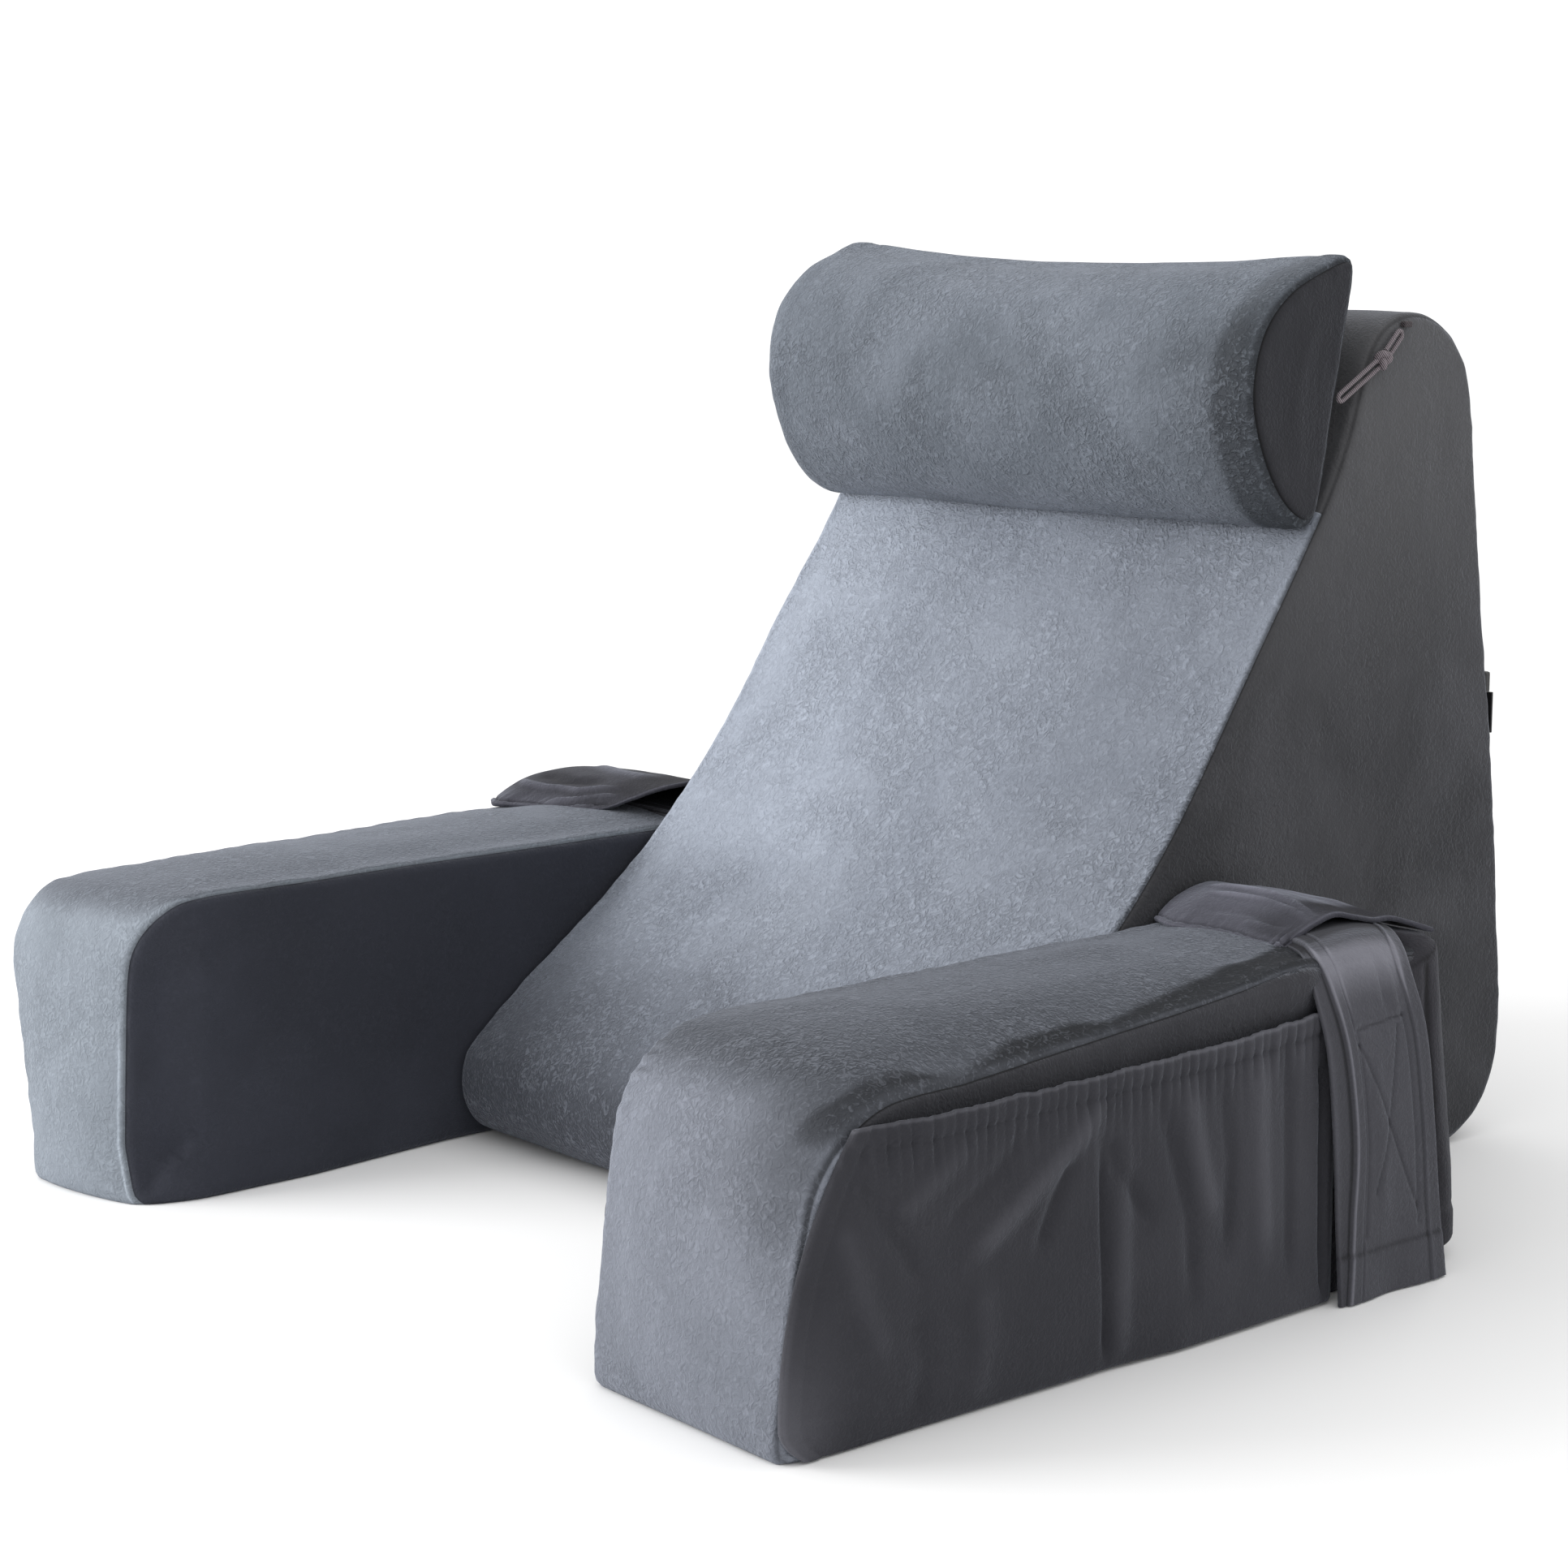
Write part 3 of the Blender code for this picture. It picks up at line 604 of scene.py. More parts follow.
def swell(rows, pressure, cap):
    """Blows a coarse cover up with Blender's cloth, its seams held, and returns each point's move."""
    lines = [row[0] for row in rows]
    count = len(lines[0])
    piece = add_object("swell", row_mesh("swell", lines))
    held = piece.vertex_groups.new(name="held")
    for r, (line, _, _, e) in enumerate(rows):
        for i, point in enumerate(line):
            if e == 0.0 or point.z < FLOOR_TOUCH:
                held.add([r * count + i], 1.0, "REPLACE")
    cloth = piece.modifiers.new("cloth", "CLOTH")
    settings = cloth.settings
    settings.quality = 5
    settings.mass = 0.3
    settings.tension_stiffness = settings.compression_stiffness = 12.0
    settings.shear_stiffness = 5.0
    settings.bending_stiffness = 0.5
    settings.use_pressure = True
    settings.uniform_pressure_force = pressure
    settings.effector_weights.gravity = 0.0
    settings.vertex_group_mass = "held"
    cloth.point_cache.frame_start = 1
    cloth.point_cache.frame_end = SWELL_FRAMES
    for step in range(1, SWELL_FRAMES + 1):
        scene.frame_set(step)
    result = piece.evaluated_get(bpy.context.evaluated_depsgraph_get()).to_mesh()
    moves = []
    for r, line in enumerate(lines):
        moves.append([])
        for i, point in enumerate(line):
            move = result.vertices[r * count + i].co - point
            moves[-1].append(move * min(1.0, cap / max(move.length, 1e-9)))
    bpy.data.objects.remove(piece, do_unlink=True)
    scene.frame_set(1)
    return moves


def spread(moves, coarse, fine, count):
    """The coarse band's moves read smoothly at the fine band's rows, which have count points each."""
    band = [(row[1], line) for row, line in zip(coarse, moves) if row[2] == 1]
    across = []
    for _, u, _, _ in fine:
        k = 0
        while k < len(band) - 2 and band[k + 1][0] < u:
            k += 1
        t = share(u, band[k][0], band[k + 1][0])
        across.append([mix(a, b, t) for a, b in zip(band[k][1], band[k + 1][1])])
    for _ in range(4):
        across = [line if i in (0, len(across) - 1) or fine[i][3] == 0.0 else
                  [(a + 2 * b + c) / 4 for a, b, c in zip(across[i - 1], line, across[i + 1])]
                  for i, line in enumerate(across)]
    many = len(moves[0])
    result = []
    for line in across:
        row = []
        for i in range(count):
            k = int(i * many / count)
            s = i * many / count - k
            near = (line[k - 1], line[k], line[(k + 1) % many], line[(k + 2) % many])
            row.append(sum((w * p for w, p in zip(spline_weights(s), near)), Vector()) / 6)
        result.append(row)
    return result


def crease_height(co, creases):
    """Height of the soft troughs and ridges at a point: each is (points, depth, width)."""
    height = 0.0
    for points, depth, width in creases:
        low = [min(p[k] for p in points) - 2.2 * width for k in (0, 1, 2)]
        high = [max(p[k] for p in points) + 2.2 * width for k in (0, 1, 2)]
        if not all(low[k] < co[k] < high[k] for k in (0, 1, 2)):
            continue
        nearest, place = nearest_on(points, co)
        fade = min(place / 0.18, (1 - place) / 0.18, 1.0)
        height += depth * bump(nearest, width) * ease(max(fade, 0.0))
    return height


def make_cushion(node, shape, materials, spacing, panel_rows, pucker, creases, swelling,
                 uneven, tone, wrinkle=None, slot_at=None):
    """Builds a cushion's cover: simulated swelling first, then its seams, wrinkles and materials.

    materials are those of the low panel, the band and the high panel. swelling is (spacing,
    pressure, cap, freedom) of the simulated cover, and freedom(co) is how much of it is kept.
    pucker is the height of the short ripples at the seams, and uneven that of the wide lumps.
    wrinkle(co, region, e) adds height, and tone(co, region, e) paints highlights and shade onto the pile.
    slot_at(co, slot) is the number of the material there, in place of the region's own.
    """
    stops = ring_stops(shape.control, spacing)
    count = len(stops)
    rows = shape.rows(stops, spacing, SEAM_ROWS, panel_rows)
    step, pressure, cap, freedom = swelling
    coarse = shape.rows(ring_stops(shape.control, step), step, COARSE_SEAM_ROWS, (0.012,))
    band = [row for row in rows if row[2] == 1]
    moves = spread(swell(coarse, pressure, cap), coarse, band, count)
    for (line, _, _, _), shifts in zip(band, moves):
        for i, shift in enumerate(shifts):
            if line[i].z > FLOOR_TOUCH:
                line[i] = line[i] + shift * freedom(line[i])
                line[i].z = max(line[i].z, 0.0)
    ends = [shape.panel_inside(rows[0][0], panel_rows[-1], 0, spacing),
            shape.panel_inside(rows[-1][0], panel_rows[-1], 1, spacing)]
    mesh = row_mesh(node + "_cover", [row[0] for row in rows], ends)
    piece = add_piece(mesh.name, mesh, materials)
    regions = [row[2] for row in rows for _ in range(count)] + [0] * len(ends[0][0]) + [2] * len(ends[1][0])
    for face in mesh.polygons:
        near = {regions[i] for i in face.vertices}
        slot = 0 if 0 in near else 2 if 2 in near else 1
        face.material_index = slot_at(face.center, slot) if slot_at else slot
    radius = count * spacing / (2 * math.pi)
    places, tones = [], []
    for vertex in mesh.vertices:
        co = vertex.co
        r, i = divmod(vertex.index, count)
        e = rows[r][3] if r < len(rows) else panel_rows[-1] + 0.01
        # painted shade in the seam between painted highlights on its rolled lips
        seam_light_and_shade = 0.1 * bump(e - 0.0026, 0.0012) * (1 + wander(co, 0.04, 5.5)) - 0.5 * bump(e, 0.0008)
        tones.append(seam_light_and_shade + tone(co, regions[vertex.index], e))
        if co.z < FLOOR_TOUCH:
            places.append(co.copy())
            continue
        angle = 2 * math.pi * i / count
        turn = (radius * math.cos(angle), radius * math.sin(angle), 0.12 * e + 0.5 * regions[vertex.index])
        height = uneven * (wander(co, LUMPS, 3.1) + 0.35 * wander(co, 0.4 * LUMPS, 8.7))
        if r < len(rows):
            height += pucker * math.exp(-e / PUCKER_FADE) * wander(turn, 0.0105, 1.3) * share(e, 0.0, 0.0012)
        height += crease_height(co, creases)
        if wrinkle:
            height += wrinkle(co, regions[vertex.index], e)
        moved = co + vertex.normal * height * share(co.z, 0.0, 0.012)
        moved.z = max(moved.z, 0.0)
        places.append(moved)
    for vertex, place in zip(mesh.vertices, places):
        vertex.co = place
    paint(mesh, tones)
    mesh.update()
    claim(piece, node)


# ---------------------------------------------------------------- cloth sheets
def border_stops(length, spacing, lines=()):
    """Shares of a length from 0 to 1, close together at both borders and at lines."""
    near = (0.0, 0.00025, 0.0007, 0.0013, 0.0024, 0.004)
    steps = max(round((length - 2 * near[-1]) / spacing), 2)
    inner = [mix(near[-1], length - near[-1], i / steps) for i in range(1, steps)]
    beside = (-0.0018, -0.001, -0.0004, 0.0, 0.0004, 0.001, 0.0018)
    close = [line * length + d for line in lines for d in beside]
    inner = [d for d in inner if all(abs(d - other) > 0.0007 for other in close)]
    return [d / length for d in list(near) + sorted(inner + close) + [length - d for d in reversed(near)]]


def cloth_sheet(node, material, place, raised, tone, size, spacing, lines,
                side=1, half=0.0012):
    """A sheet of cloth round the surface place(u, v), with rounded borders.

    size is its width and length in metres, and half is half its thickness. raised(u, v) lifts
    its outer face, for hems and seams, and tone(u, v) paints highlights and shade onto its pile.
    side turns the outer face over. lines are the u and the v at which hems need a closer mesh.
    """
    us, vs = border_stops(size[0], spacing, lines[0]), border_stops(size[1], spacing, lines[1])
    middle = [[Vector(place(u, v)) for v in vs] for u in us]
    front, back = [], []
    for i, u in enumerate(us):
        front.append([])
        back.append([])
        for j, v in enumerate(vs):
            a = middle[min(i + 1, len(us) - 1)][j] - middle[max(i - 1, 0)][j]
            b = middle[i][min(j + 1, len(vs) - 1)] - middle[i][max(j - 1, 0)]
            normal = a.cross(b).normalized() * side
            d = min(u * size[0], (1 - u) * size[0], v * size[1], (1 - v) * size[1])
            round_off = math.sqrt(1 - (1 - share(d, 0.0, half)) ** 2)
            front[-1].append(middle[i][j] + normal * (half + raised(u, v)) * round_off)
            back[-1].append(middle[i][j] - normal * half * round_off)
    points = [p for line in front for p in line] + [p for line in back for p in line]
    tones = [tone(u, v) for u in us for v in vs] * 2
    per = len(vs)
    half_count = len(us) * per
    faces = []
    for i in range(len(us) - 1):
        for j in range(per - 1):
            quad = (i * per + j, (i + 1) * per + j, (i + 1) * per + j + 1, i * per + j + 1)
            faces.append(quad)
            faces.append(tuple(half_count + n for n in reversed(quad)))
    mesh = bpy.data.meshes.new(node + "_cloth")
    mesh.from_pydata(points, [], faces)
    paint(mesh, tones)
    finish_mesh(mesh, weld_rim=True)
    piece = add_piece(mesh.name, mesh, [material])
    claim(piece, node)


def fold_height(u, v, folds):
    """Height of folds drawn in a plane: each is (points, height, width)."""
    total = 0.0
    for points, height, width in folds:
        nearest, place = nearest_on(points, Vector((u, v)))
        fade = min(0.35 + place / 0.2, 0.35 + (1 - place) / 0.2, 1.0)
        total += height * bump(nearest, width) * fade
    return total


# ---------------------------------------------------------------- backrest
FRONT_FACE = ((-0.133, 0.065), (-0.088, 0.103), (-0.028, 0.144), (0.027, 0.19),
              (0.075, 0.244), (0.113, 0.299), (0.153, 0.356), (0.194, 0.413),
              (0.226, 0.465))


def back_line(z):
    """y of the leaning back at height z."""
    return BACK_LINE - BACK_LEAN * (z - BACK_BEND) + BACK_BOW * bump(z - 0.235, 0.09)


def backrest_outline():
    crown, heel_radius = 0.06, 0.066
    nose = arc((-0.1, 0.042), 0.042, 250, 155, 4)
    top = arc((back_line(BACK_TOP - crown) - crown, BACK_TOP - crown), crown, 140, 5, 5)
    rear = [(back_line(z), z) for z in (0.42, 0.34, 0.26, 0.18, 0.11)]
    heel = arc((BACK_REAR - heel_radius, heel_radius), heel_radius, -8, -78, 3)
    floor = [(y, 0.0) for y in (0.33, 0.22, 0.11, 0.0, -0.108)]
    return nose[1:] + list(FRONT_FACE) + top + rear + heel + floor


def backrest_sides(y, z):
    half = mix(BACK_HALF_BASE, BACK_HALF_TOP, z / BACK_TOP)
    return BACK_LEFT_TUCK * z / BACK_TOP - half, half


def make_backrest(front, side):
    shape = Cushion(backrest_outline(), backrest_sides, crown=(0.0015, 0.004, 0.002, 0.0),
                    bulges=(0.0012, 0.0012), band_roll=(0.0075, 0.0008),
                    panel_rolls=((0.008, 0.0006), (0.008, 0.0006)))
    creases = [
        (((-0.16, -0.128, 0.07), (-0.05, -0.128, 0.066), (0.07, -0.128, 0.068)), -0.0009, 0.01),
        (((0.02, -0.118, 0.08), (0.12, -0.116, 0.082), (0.2, -0.12, 0.075)), -0.0007, 0.008),
        (((-0.12, 0.165, 0.375), (0.0, 0.17, 0.382), (0.13, 0.165, 0.374)), -0.001, 0.014),
    ]

    def freedom(co):
        return 0.25 if abs(co.x) > 0.21 else 1.0

    def tone(co, region, e):
        # painted shade low down and towards the rear of the right side panel
        if region == 2:
            return -0.34 * share(co.z, 0.3, 0.05) * share(co.y, 0.05, 0.36)
        if region != 1 or behind(co, 1) == 0:
            return 0.0
        # painted light and shade on the front: lighter on its left, towards the lamp, darker on its right
        # and down at its foot
        right = ease(share(co.x + 0.35 * (co.z - 0.25), -0.12, 0.16))
        foot = share(co.z, 0.2, 0.11)
        return mix(mix(0.28, -0.36, right), -0.34, foot) + 0.04 * wander(co, 0.09, 6.0)

    def behind(co, slot):
        """The darker velvet, partly painted shade, covers the top, the back and the underside."""
        return 0 if co.z > 0.424 or co.z < FLOOR_TOUCH or co.y > 0.26 else slot

    make_cushion("backrest", shape, (side, front, side), spacing=0.0036, panel_rows=PANEL_ROWS,
                 pucker=0.0007, creases=creases, swelling=(0.0135, 3.0, 0.003, freedom),
                 uneven=0.0013, tone=tone, slot_at=behind)


# ---------------------------------------------------------------- neck roll
# end seam of the neck roll, from its lower rear corner round the front: (y, z)
ROLL_SECTION = ((0.1895, 0.4205), (0.179, 0.421), (0.1615, 0.432), (0.1455, 0.4545),
                (0.1355, 0.478), (0.1305, 0.5005), (0.1365, 0.5285), (0.148, 0.5465),
                (0.168, 0.5625), (0.193, 0.5715), (0.222, 0.582), (0.2225, 0.57),
                (0.216, 0.535), (0.208, 0.4985), (0.2005, 0.46), (0.194, 0.431))


def roll_set(t, y, z):
    """The roll's top sags between its ends, and its left end sits higher and further forward."""
    left = (1 - t) ** 3 * share(z, 0.49, 0.58)
    sag = 4 * t * (1 - t) * share(z, 0.53, 0.58)
    return y - 0.006 * left, z + 0.0095 * left - 0.008 * sag


def make_roll(front, end):
    shape = Cushion(ROLL_SECTION, lambda y, z: (-ROLL_HALF, ROLL_HALF), crown=(0.0045, 0.0005, 0.0, 0.0035),
                    bulges=(0.003, 0.003), band_roll=(0.016, 0.0032),
                    panel_rolls=((0.01, 0.0006), (0.01, 0.0006)), shoulder=0.3, warp=roll_set)

    def wrinkle(co, region, e):
        return -0.0006 * bump(e - 0.021, 0.004) if region == 1 else 0.0

    def freedom(co):
        return share(co.y, 0.2, 0.18)

    def tone(co, region, e):
        # painted shade on the end panels close to their seams
        if region != 1:
            return -0.25 * share(e, 0.012, 0.0)
        # painted shade over the right end's shoulder, where the band turns from the lamp, and over the lower
        # part, with a painted highlight ring beside the seam
        low = share(co.z, 0.56, 0.525)
        turned = 0.52 * share(e, 0.032, 0.02) + 0.42 * share(e, 0.12, 0.035) * low * share(co.x, 0.0, 0.05)
        ring = 0.16 * bump(e - 0.004, 0.0025) * low
        return ring - turned * share(co.x, -0.05, 0.05) - 0.07 * low + 0.05 * wander(co, 0.05, 4.0)

    make_cushion("neck_roll", shape, (end, front, end), spacing=0.003, panel_rows=PANEL_ROWS[:6],
                 pucker=0.0008, creases=(), swelling=(0.01, 3.5, 0.0025, freedom),
                 uneven=0.0011, tone=tone, wrinkle=wrinkle)


# ---------------------------------------------------------------- arms
def arm_outline(front, lean, top_front_radius, foot):
    """Outline of an arm in side view. lean is how much further back its front is at the top."""
    edge = foot + 0.009
    heel = 0.022
    spacing = 0.08
    shoulder = front + lean
    rear_top = ARM_REAR - ARM_REAR_LEAN
    top_front = arc((shoulder + top_front_radius, ARM_TOP - top_front_radius), top_front_radius, 180, 90, 4)
    top_rear = arc((rear_top - heel, ARM_TOP - heel), heel, 90, 0, 2)
    run = int((rear_top - heel - shoulder - top_front_radius) / spacing)
    top = [(mix(top_front[-1][0], top_rear[0][0], i / run), ARM_TOP) for i in range(1, run)]
    rear = [(mix(ARM_REAR, rear_top, z / ARM_TOP), z) for z in (0.11, 0.05, foot)]
    floor = [(mix(ARM_REAR - foot, front + edge, i / (run + 1)), 0.0) for i in range(run + 2)]
    front_face = [(front + foot, 0.0), (front, foot), (front, edge), (mix(front, shoulder, 0.4), 0.06)]
    return top_front + top + top_rear + rear + floor + front_face


def foot_ahead(y, z):
    """How much further forward the right arm's outer foot is than its inner one."""
    return 0.005 * share(y, -0.3, -0.355) * share(z, 0.13, 0.06)


def right_set(t, y, z):
    """The right arm is lower towards its outer side, ahead of the hood, and its foot is further forward."""
    drop = 0.085 * share(y, -0.02, -0.25) + 0.012 * share(y, -0.3, -0.33)
    return y - foot_ahead(y, z) * t ** 2, z * (1 - drop * t ** 8)


def left_set(t, y, z):
    """The left arm's front is set back towards its inner side, and its outer side is lower."""
    drop = 0.032 * share(y, -0.03, -0.36)
    return y + 0.015 * t ** 2 * share(y, -0.25, -0.37), z * (1 - drop * (1 - t) ** 3)


def outer_face(y, z):
    rear = ARM_REAR - ARM_REAR_LEAN * z / ARM_TOP
    turn = share(y, rear - ARM_CORNER, rear)
    return ARM_OUTER - ARM_CORNER * (1 - math.sqrt(1 - turn ** 2))


def right_sides(y, z):
    ahead = share(y, -0.25, RIGHT_FRONT)
    corner = share(y, -0.32, RIGHT_FRONT)
    return ARM_INNER - 0.0105 * ahead, outer_face(y, z) - 0.004 * corner ** 2


def left_sides(y, z):
    inner = share(y, -0.345, LEFT_FRONT)
    outer = share(y, -0.31, LEFT_FRONT)
    tuck = 0.0245 * share(y, -0.2, LEFT_FRONT) * share(z, 0.14, 0.03)
    spread_foot = 0.012 * share(y, -0.15, -0.26) * share(z, 0.035, 0.0)
    return -outer_face(y, z) + 0.018 * outer ** 2 + tuck, spread_foot - ARM_INNER - 0.015 * inner ** 2


# outer border of the right arm's lighter top, beyond which it rounds into the outer side and turns darker,
# partly pile brushed the other way, partly painted shade: (y, x)
PILE_AND_SHADE_EDGE = ((-0.347, 0.35), (-0.313, 0.358), (-0.29, 0.356), (-0.268, 0.363), (-0.247, 0.365),
           (-0.207, 0.355), (-0.172, 0.354), (-0.146, 0.358), (-0.117, 0.359), (-0.075, 0.35),
           (-0.0335, 0.342), (0.002, 0.34), (0.03, 0.328), (0.06, 0.308))


def pocket_front(z):
    """y of the pocket's front border at height z."""
    return mix(-0.3735, -0.329, share(z, 0.02, 0.163) ** 2.2) + 0.016 * share(z, 0.02, 0.0) ** 2


def pile_and_shade_edge(y):
    for (y0, x0), (y1, x1) in zip(PILE_AND_SHADE_EDGE, PILE_AND_SHADE_EDGE[1:]):
        if y < y1:
            return mix(x0, x1, share(y, y0, y1))
    return PILE_AND_SHADE_EDGE[-1][1]


RIGHT_CREASES = (
    (((0.3106, 0.0107, 0.189), (0.3345, 0.038, 0.189)), -0.0016, 0.0045),
    (((0.3324, -0.049, 0.188), (0.3222, -0.008, 0.188)), -0.0015, 0.0045),
    (((0.345, -0.1428, 0.183), (0.357, -0.1302, 0.182)), -0.0014, 0.004),
    (((0.342, -0.095, 0.186), (0.333, -0.0484, 0.187), (0.3218, -0.0021, 0.188)), 0.0016, 0.006),
    (((0.27, -0.26, 0.189), (0.31, -0.24, 0.188), (0.35, -0.245, 0.18)), -0.001, 0.009),
    (((0.25, -0.355, 0.135), (0.29, -0.362, 0.12), (0.33, -0.364, 0.125)), -0.001, 0.009),
    (((0.235, -0.365, 0.07), (0.28, -0.37, 0.062), (0.32, -0.37, 0.068)), -0.0008, 0.008),
)
# the pulled cloth at the pocket's top front corner
RIGHT_PULLS = (
    (((0.372, -0.33, 0.165), (0.364, -0.33, 0.178), (0.354, -0.331, 0.184)), -0.0034, 0.0034),
    (((0.371, -0.333, 0.162), (0.362, -0.341, 0.172), (0.352, -0.348, 0.176)), -0.0032, 0.0034),
    (((0.372, -0.3315, 0.164), (0.364, -0.335, 0.176), (0.354, -0.339, 0.181)), 0.0022, 0.003),
)
LEFT_CREASES = (
    (((-0.345, -0.385, 0.125), (-0.3, -0.39, 0.115), (-0.25, -0.392, 0.12)), -0.001, 0.009),
    (((-0.35, -0.19, 0.188), (-0.3, -0.2, 0.19), (-0.25, -0.185, 0.19)), -0.0009, 0.01),
)
PUCKER_LENGTH = 0.014         # from one short pucker at the right arm's front inner seam to the next


def make_arm(word, shape, materials, creases, freedom, tone, wrinkle=None, slot_at=None):
    make_cushion("arm_" + word, shape, materials, spacing=0.0036, panel_rows=PANEL_ROWS,
                 pucker=0.0011, creases=creases, swelling=(0.012, 3.5, 0.004, freedom),
                 uneven=0.0014, tone=tone, wrinkle=wrinkle, slot_at=slot_at)


def make_right_arm(top, inner, outer):
    outline = arm_outline(RIGHT_FRONT, lean=0.011, top_front_radius=0.064, foot=0.0045)
    shape = Cushion(outline, right_sides, crown=(0.003, 0.003, 0.0015, 0.0), bulges=(0.0, 0.0),
                    band_roll=(0.0085, 0.0008), panel_rolls=((0.009, 0.001), (0.006, 0.0004)),
                    warp=right_set)

    def front_puckers(co, e, width, turn=0.0):
        """Short puckers, from -1 to 1, along the inner seam of the arm's rounded front."""
        near = bump(e - 0.006, width) * bump(co.y + 0.338, 0.026) * share(co.x, 0.25, 0.235)
        wave = math.sin(2 * math.pi * (co.y + co.z) / PUCKER_LENGTH + turn)
        return near * wave * share(co.z, 0.1, 0.13)

    def wrinkle(co, region, e):
        lift = 0.008 * bump(co.y - 0.004, 0.03) * share(co.x, 0.335, 0.368) * share(co.z, 0.15, 0.185)
        return (lift if region else 0.0) + 0.0011 * front_puckers(co, e, 0.005)

    def freedom(co):
        return share(co.x, 0.228, 0.245) * share(0.372 - co.x, 0.0, 0.012) * share(co.y, 0.1, 0.02)

    def tone(co, region, e):
        if region != 1:
            return 0.0
        # beyond the edge the top rounds into the outer side: darker, partly pile brushed the other way,
        # partly painted shade
        edge = pile_and_shade_edge(co.y) + 0.004 * wander(co, 0.025, 2.0)
        dark = share(co.x, edge - 0.003, edge + 0.003) * share(co.z, 0.152, 0.17)
        # painted shade over the front's upper outer part, which rounds away from the lamp
        corner = 0.52 * share(co.x, 0.28, 0.345) * share(co.z, 0.06, 0.12) + 0.12 * share(co.z, 0.1, 0.15)
        corner *= share(co.y, -0.3, -0.35)
        # painted shade over the top behind the front
        flat = 0.16 * share(co.y, -0.33, -0.29) * (1 - dark)
        # painted highlights and shade on the front's puckers and on the pulled creases at the pocket's
        # corner
        marks = 0.22 * front_puckers(co, e, 0.004, 0.8) + 0.5 * crease_height(co, RIGHT_PULLS) / 0.0025
        return 0.06 * wander(co, 0.05, 3.0) - 0.9 * dark - corner - flat + marks

    def wrapped(co, slot):
        """The front's velvet runs round the corner as far as the pocket."""
        return 1 if slot == 2 and co.y < pocket_front(co.z) + 0.004 and co.z < 0.168 else slot

    make_arm("right", shape, (inner, top, outer), RIGHT_CREASES + RIGHT_PULLS, freedom, tone,
             wrinkle, wrapped)


def make_left_arm(top, inner, outer):
    outline = arm_outline(LEFT_FRONT, lean=0.004, top_front_radius=0.048, foot=0.004)
    shape = Cushion(outline, left_sides, crown=(0.003, 0.003, 0.0015, 0.0), bulges=(0.0, 0.0),
                    band_roll=(0.009, 0.0008), panel_rolls=((0.009, 0.0008), (0.01, 0.0024)), warp=left_set)

    def freedom(co):
        inner_face = mix(share(-co.x, 0.228, 0.245), 1.0, share(co.y, -0.13, -0.15))
        return inner_face * share(co.y, 0.1, 0.02)

    def tone(co, region, e):
        if region == 0:
            return 0.0
        if region == 2:
            behind_seam = co.y - 0.3 * (0.19 - co.z) - 0.041
            return 0.45 * share(behind_seam, 0.0, 0.003) - 0.35 * bump(behind_seam, 0.002)
        lit = bump(e - 0.003, 0.0014) * share(co.y, -0.37, -0.385) * share(co.z, 0.13, 0.1)
        return 0.05 * wander(co, 0.05, 3.0) + (0.35 * lit if co.x > -0.3 else 0.0)

    make_arm("left", shape, (outer, top, inner), LEFT_CREASES, freedom, tone)


# ---------------------------------------------------------------- hoods, sleeves and straps
# side edges of the hoods from the front border to the rear one, and how far the front border
# between them lies further back: (x, y, z) and metres
HOOD_RIGHT = (((0.225, 0.047, 0.193), (0.225, 0.066, 0.204), (0.225, 0.092, 0.209),
               (0.225, 0.118, 0.204), (0.225, 0.142, 0.1945)),
              ((0.329, 0.039, 0.1925), (0.332, 0.047, 0.198), (0.3355, 0.06, 0.2045),
               (0.3385, 0.074, 0.209), (0.341, 0.09, 0.206), (0.3425, 0.105, 0.2025),
               (0.345, 0.12, 0.202), (0.36, 0.138, 0.195)),
              (0.0, -0.007, -0.001, 0.0015, -0.001, 0.0))
HOOD_LEFT = (((-0.374, 0.0, 0.193), (-0.3745, 0.016, 0.201), (-0.375, 0.037, 0.2075),
              (-0.375, 0.064, 0.2095), (-0.375, 0.088, 0.2085), (-0.375, 0.114, 0.203),
              (-0.374, 0.14, 0.1945)),
             ((-0.293, 0.017, 0.1925), (-0.28, 0.025, 0.196), (-0.266, 0.03, 0.2005),
              (-0.252, 0.034, 0.206), (-0.239, 0.04, 0.212), (-0.229, 0.052, 0.216),
              (-0.225, 0.08, 0.215), (-0.225, 0.14, 0.1945)),
             (0.0, -0.011, -0.006, -0.003, -0.006, -0.004, 0.0))


# folds across the hoods in shares of their width and length, with height and width
RIGHT_HOOD_FOLDS = (
    (((0.12, 0.42), (0.4, 0.43), (0.72, 0.4), (0.96, 0.33)), 0.0024, 0.018),
    (((0.22, 0.33), (0.5, 0.34), (0.8, 0.33), (0.97, 0.29)), 0.0022, 0.016),
    (((0.3, 0.2), (0.6, 0.22), (0.9, 0.2)), -0.0014, 0.035),
    (((0.6, 0.13), (0.76, 0.17), (0.93, 0.19)), 0.0012, 0.014),
    (((0.1, 0.62), (0.45, 0.6), (0.8, 0.55)), -0.0016, 0.05),
    (((0.05, 0.8), (0.4, 0.8), (0.75, 0.82)), 0.0016, 0.05),
)
LEFT_HOOD_FOLDS = (
    (((0.04, 0.26), (0.35, 0.23), (0.62, 0.28), (0.8, 0.46)), 0.0022, 0.022),
    (((0.1, 0.4), (0.4, 0.36), (0.6, 0.44)), -0.003, 0.05),
    (((0.58, 0.1), (0.74, 0.2), (0.9, 0.38)), 0.0022, 0.022),
    (((0.66, 0.08), (0.82, 0.16), (0.96, 0.28)), -0.0018, 0.022),
    (((0.2, 0.66), (0.5, 0.62), (0.8, 0.7)), 0.002, 0.05),
)
HOOD_STITCH = 0.06            # where its front border is sewn down, as a share of its length


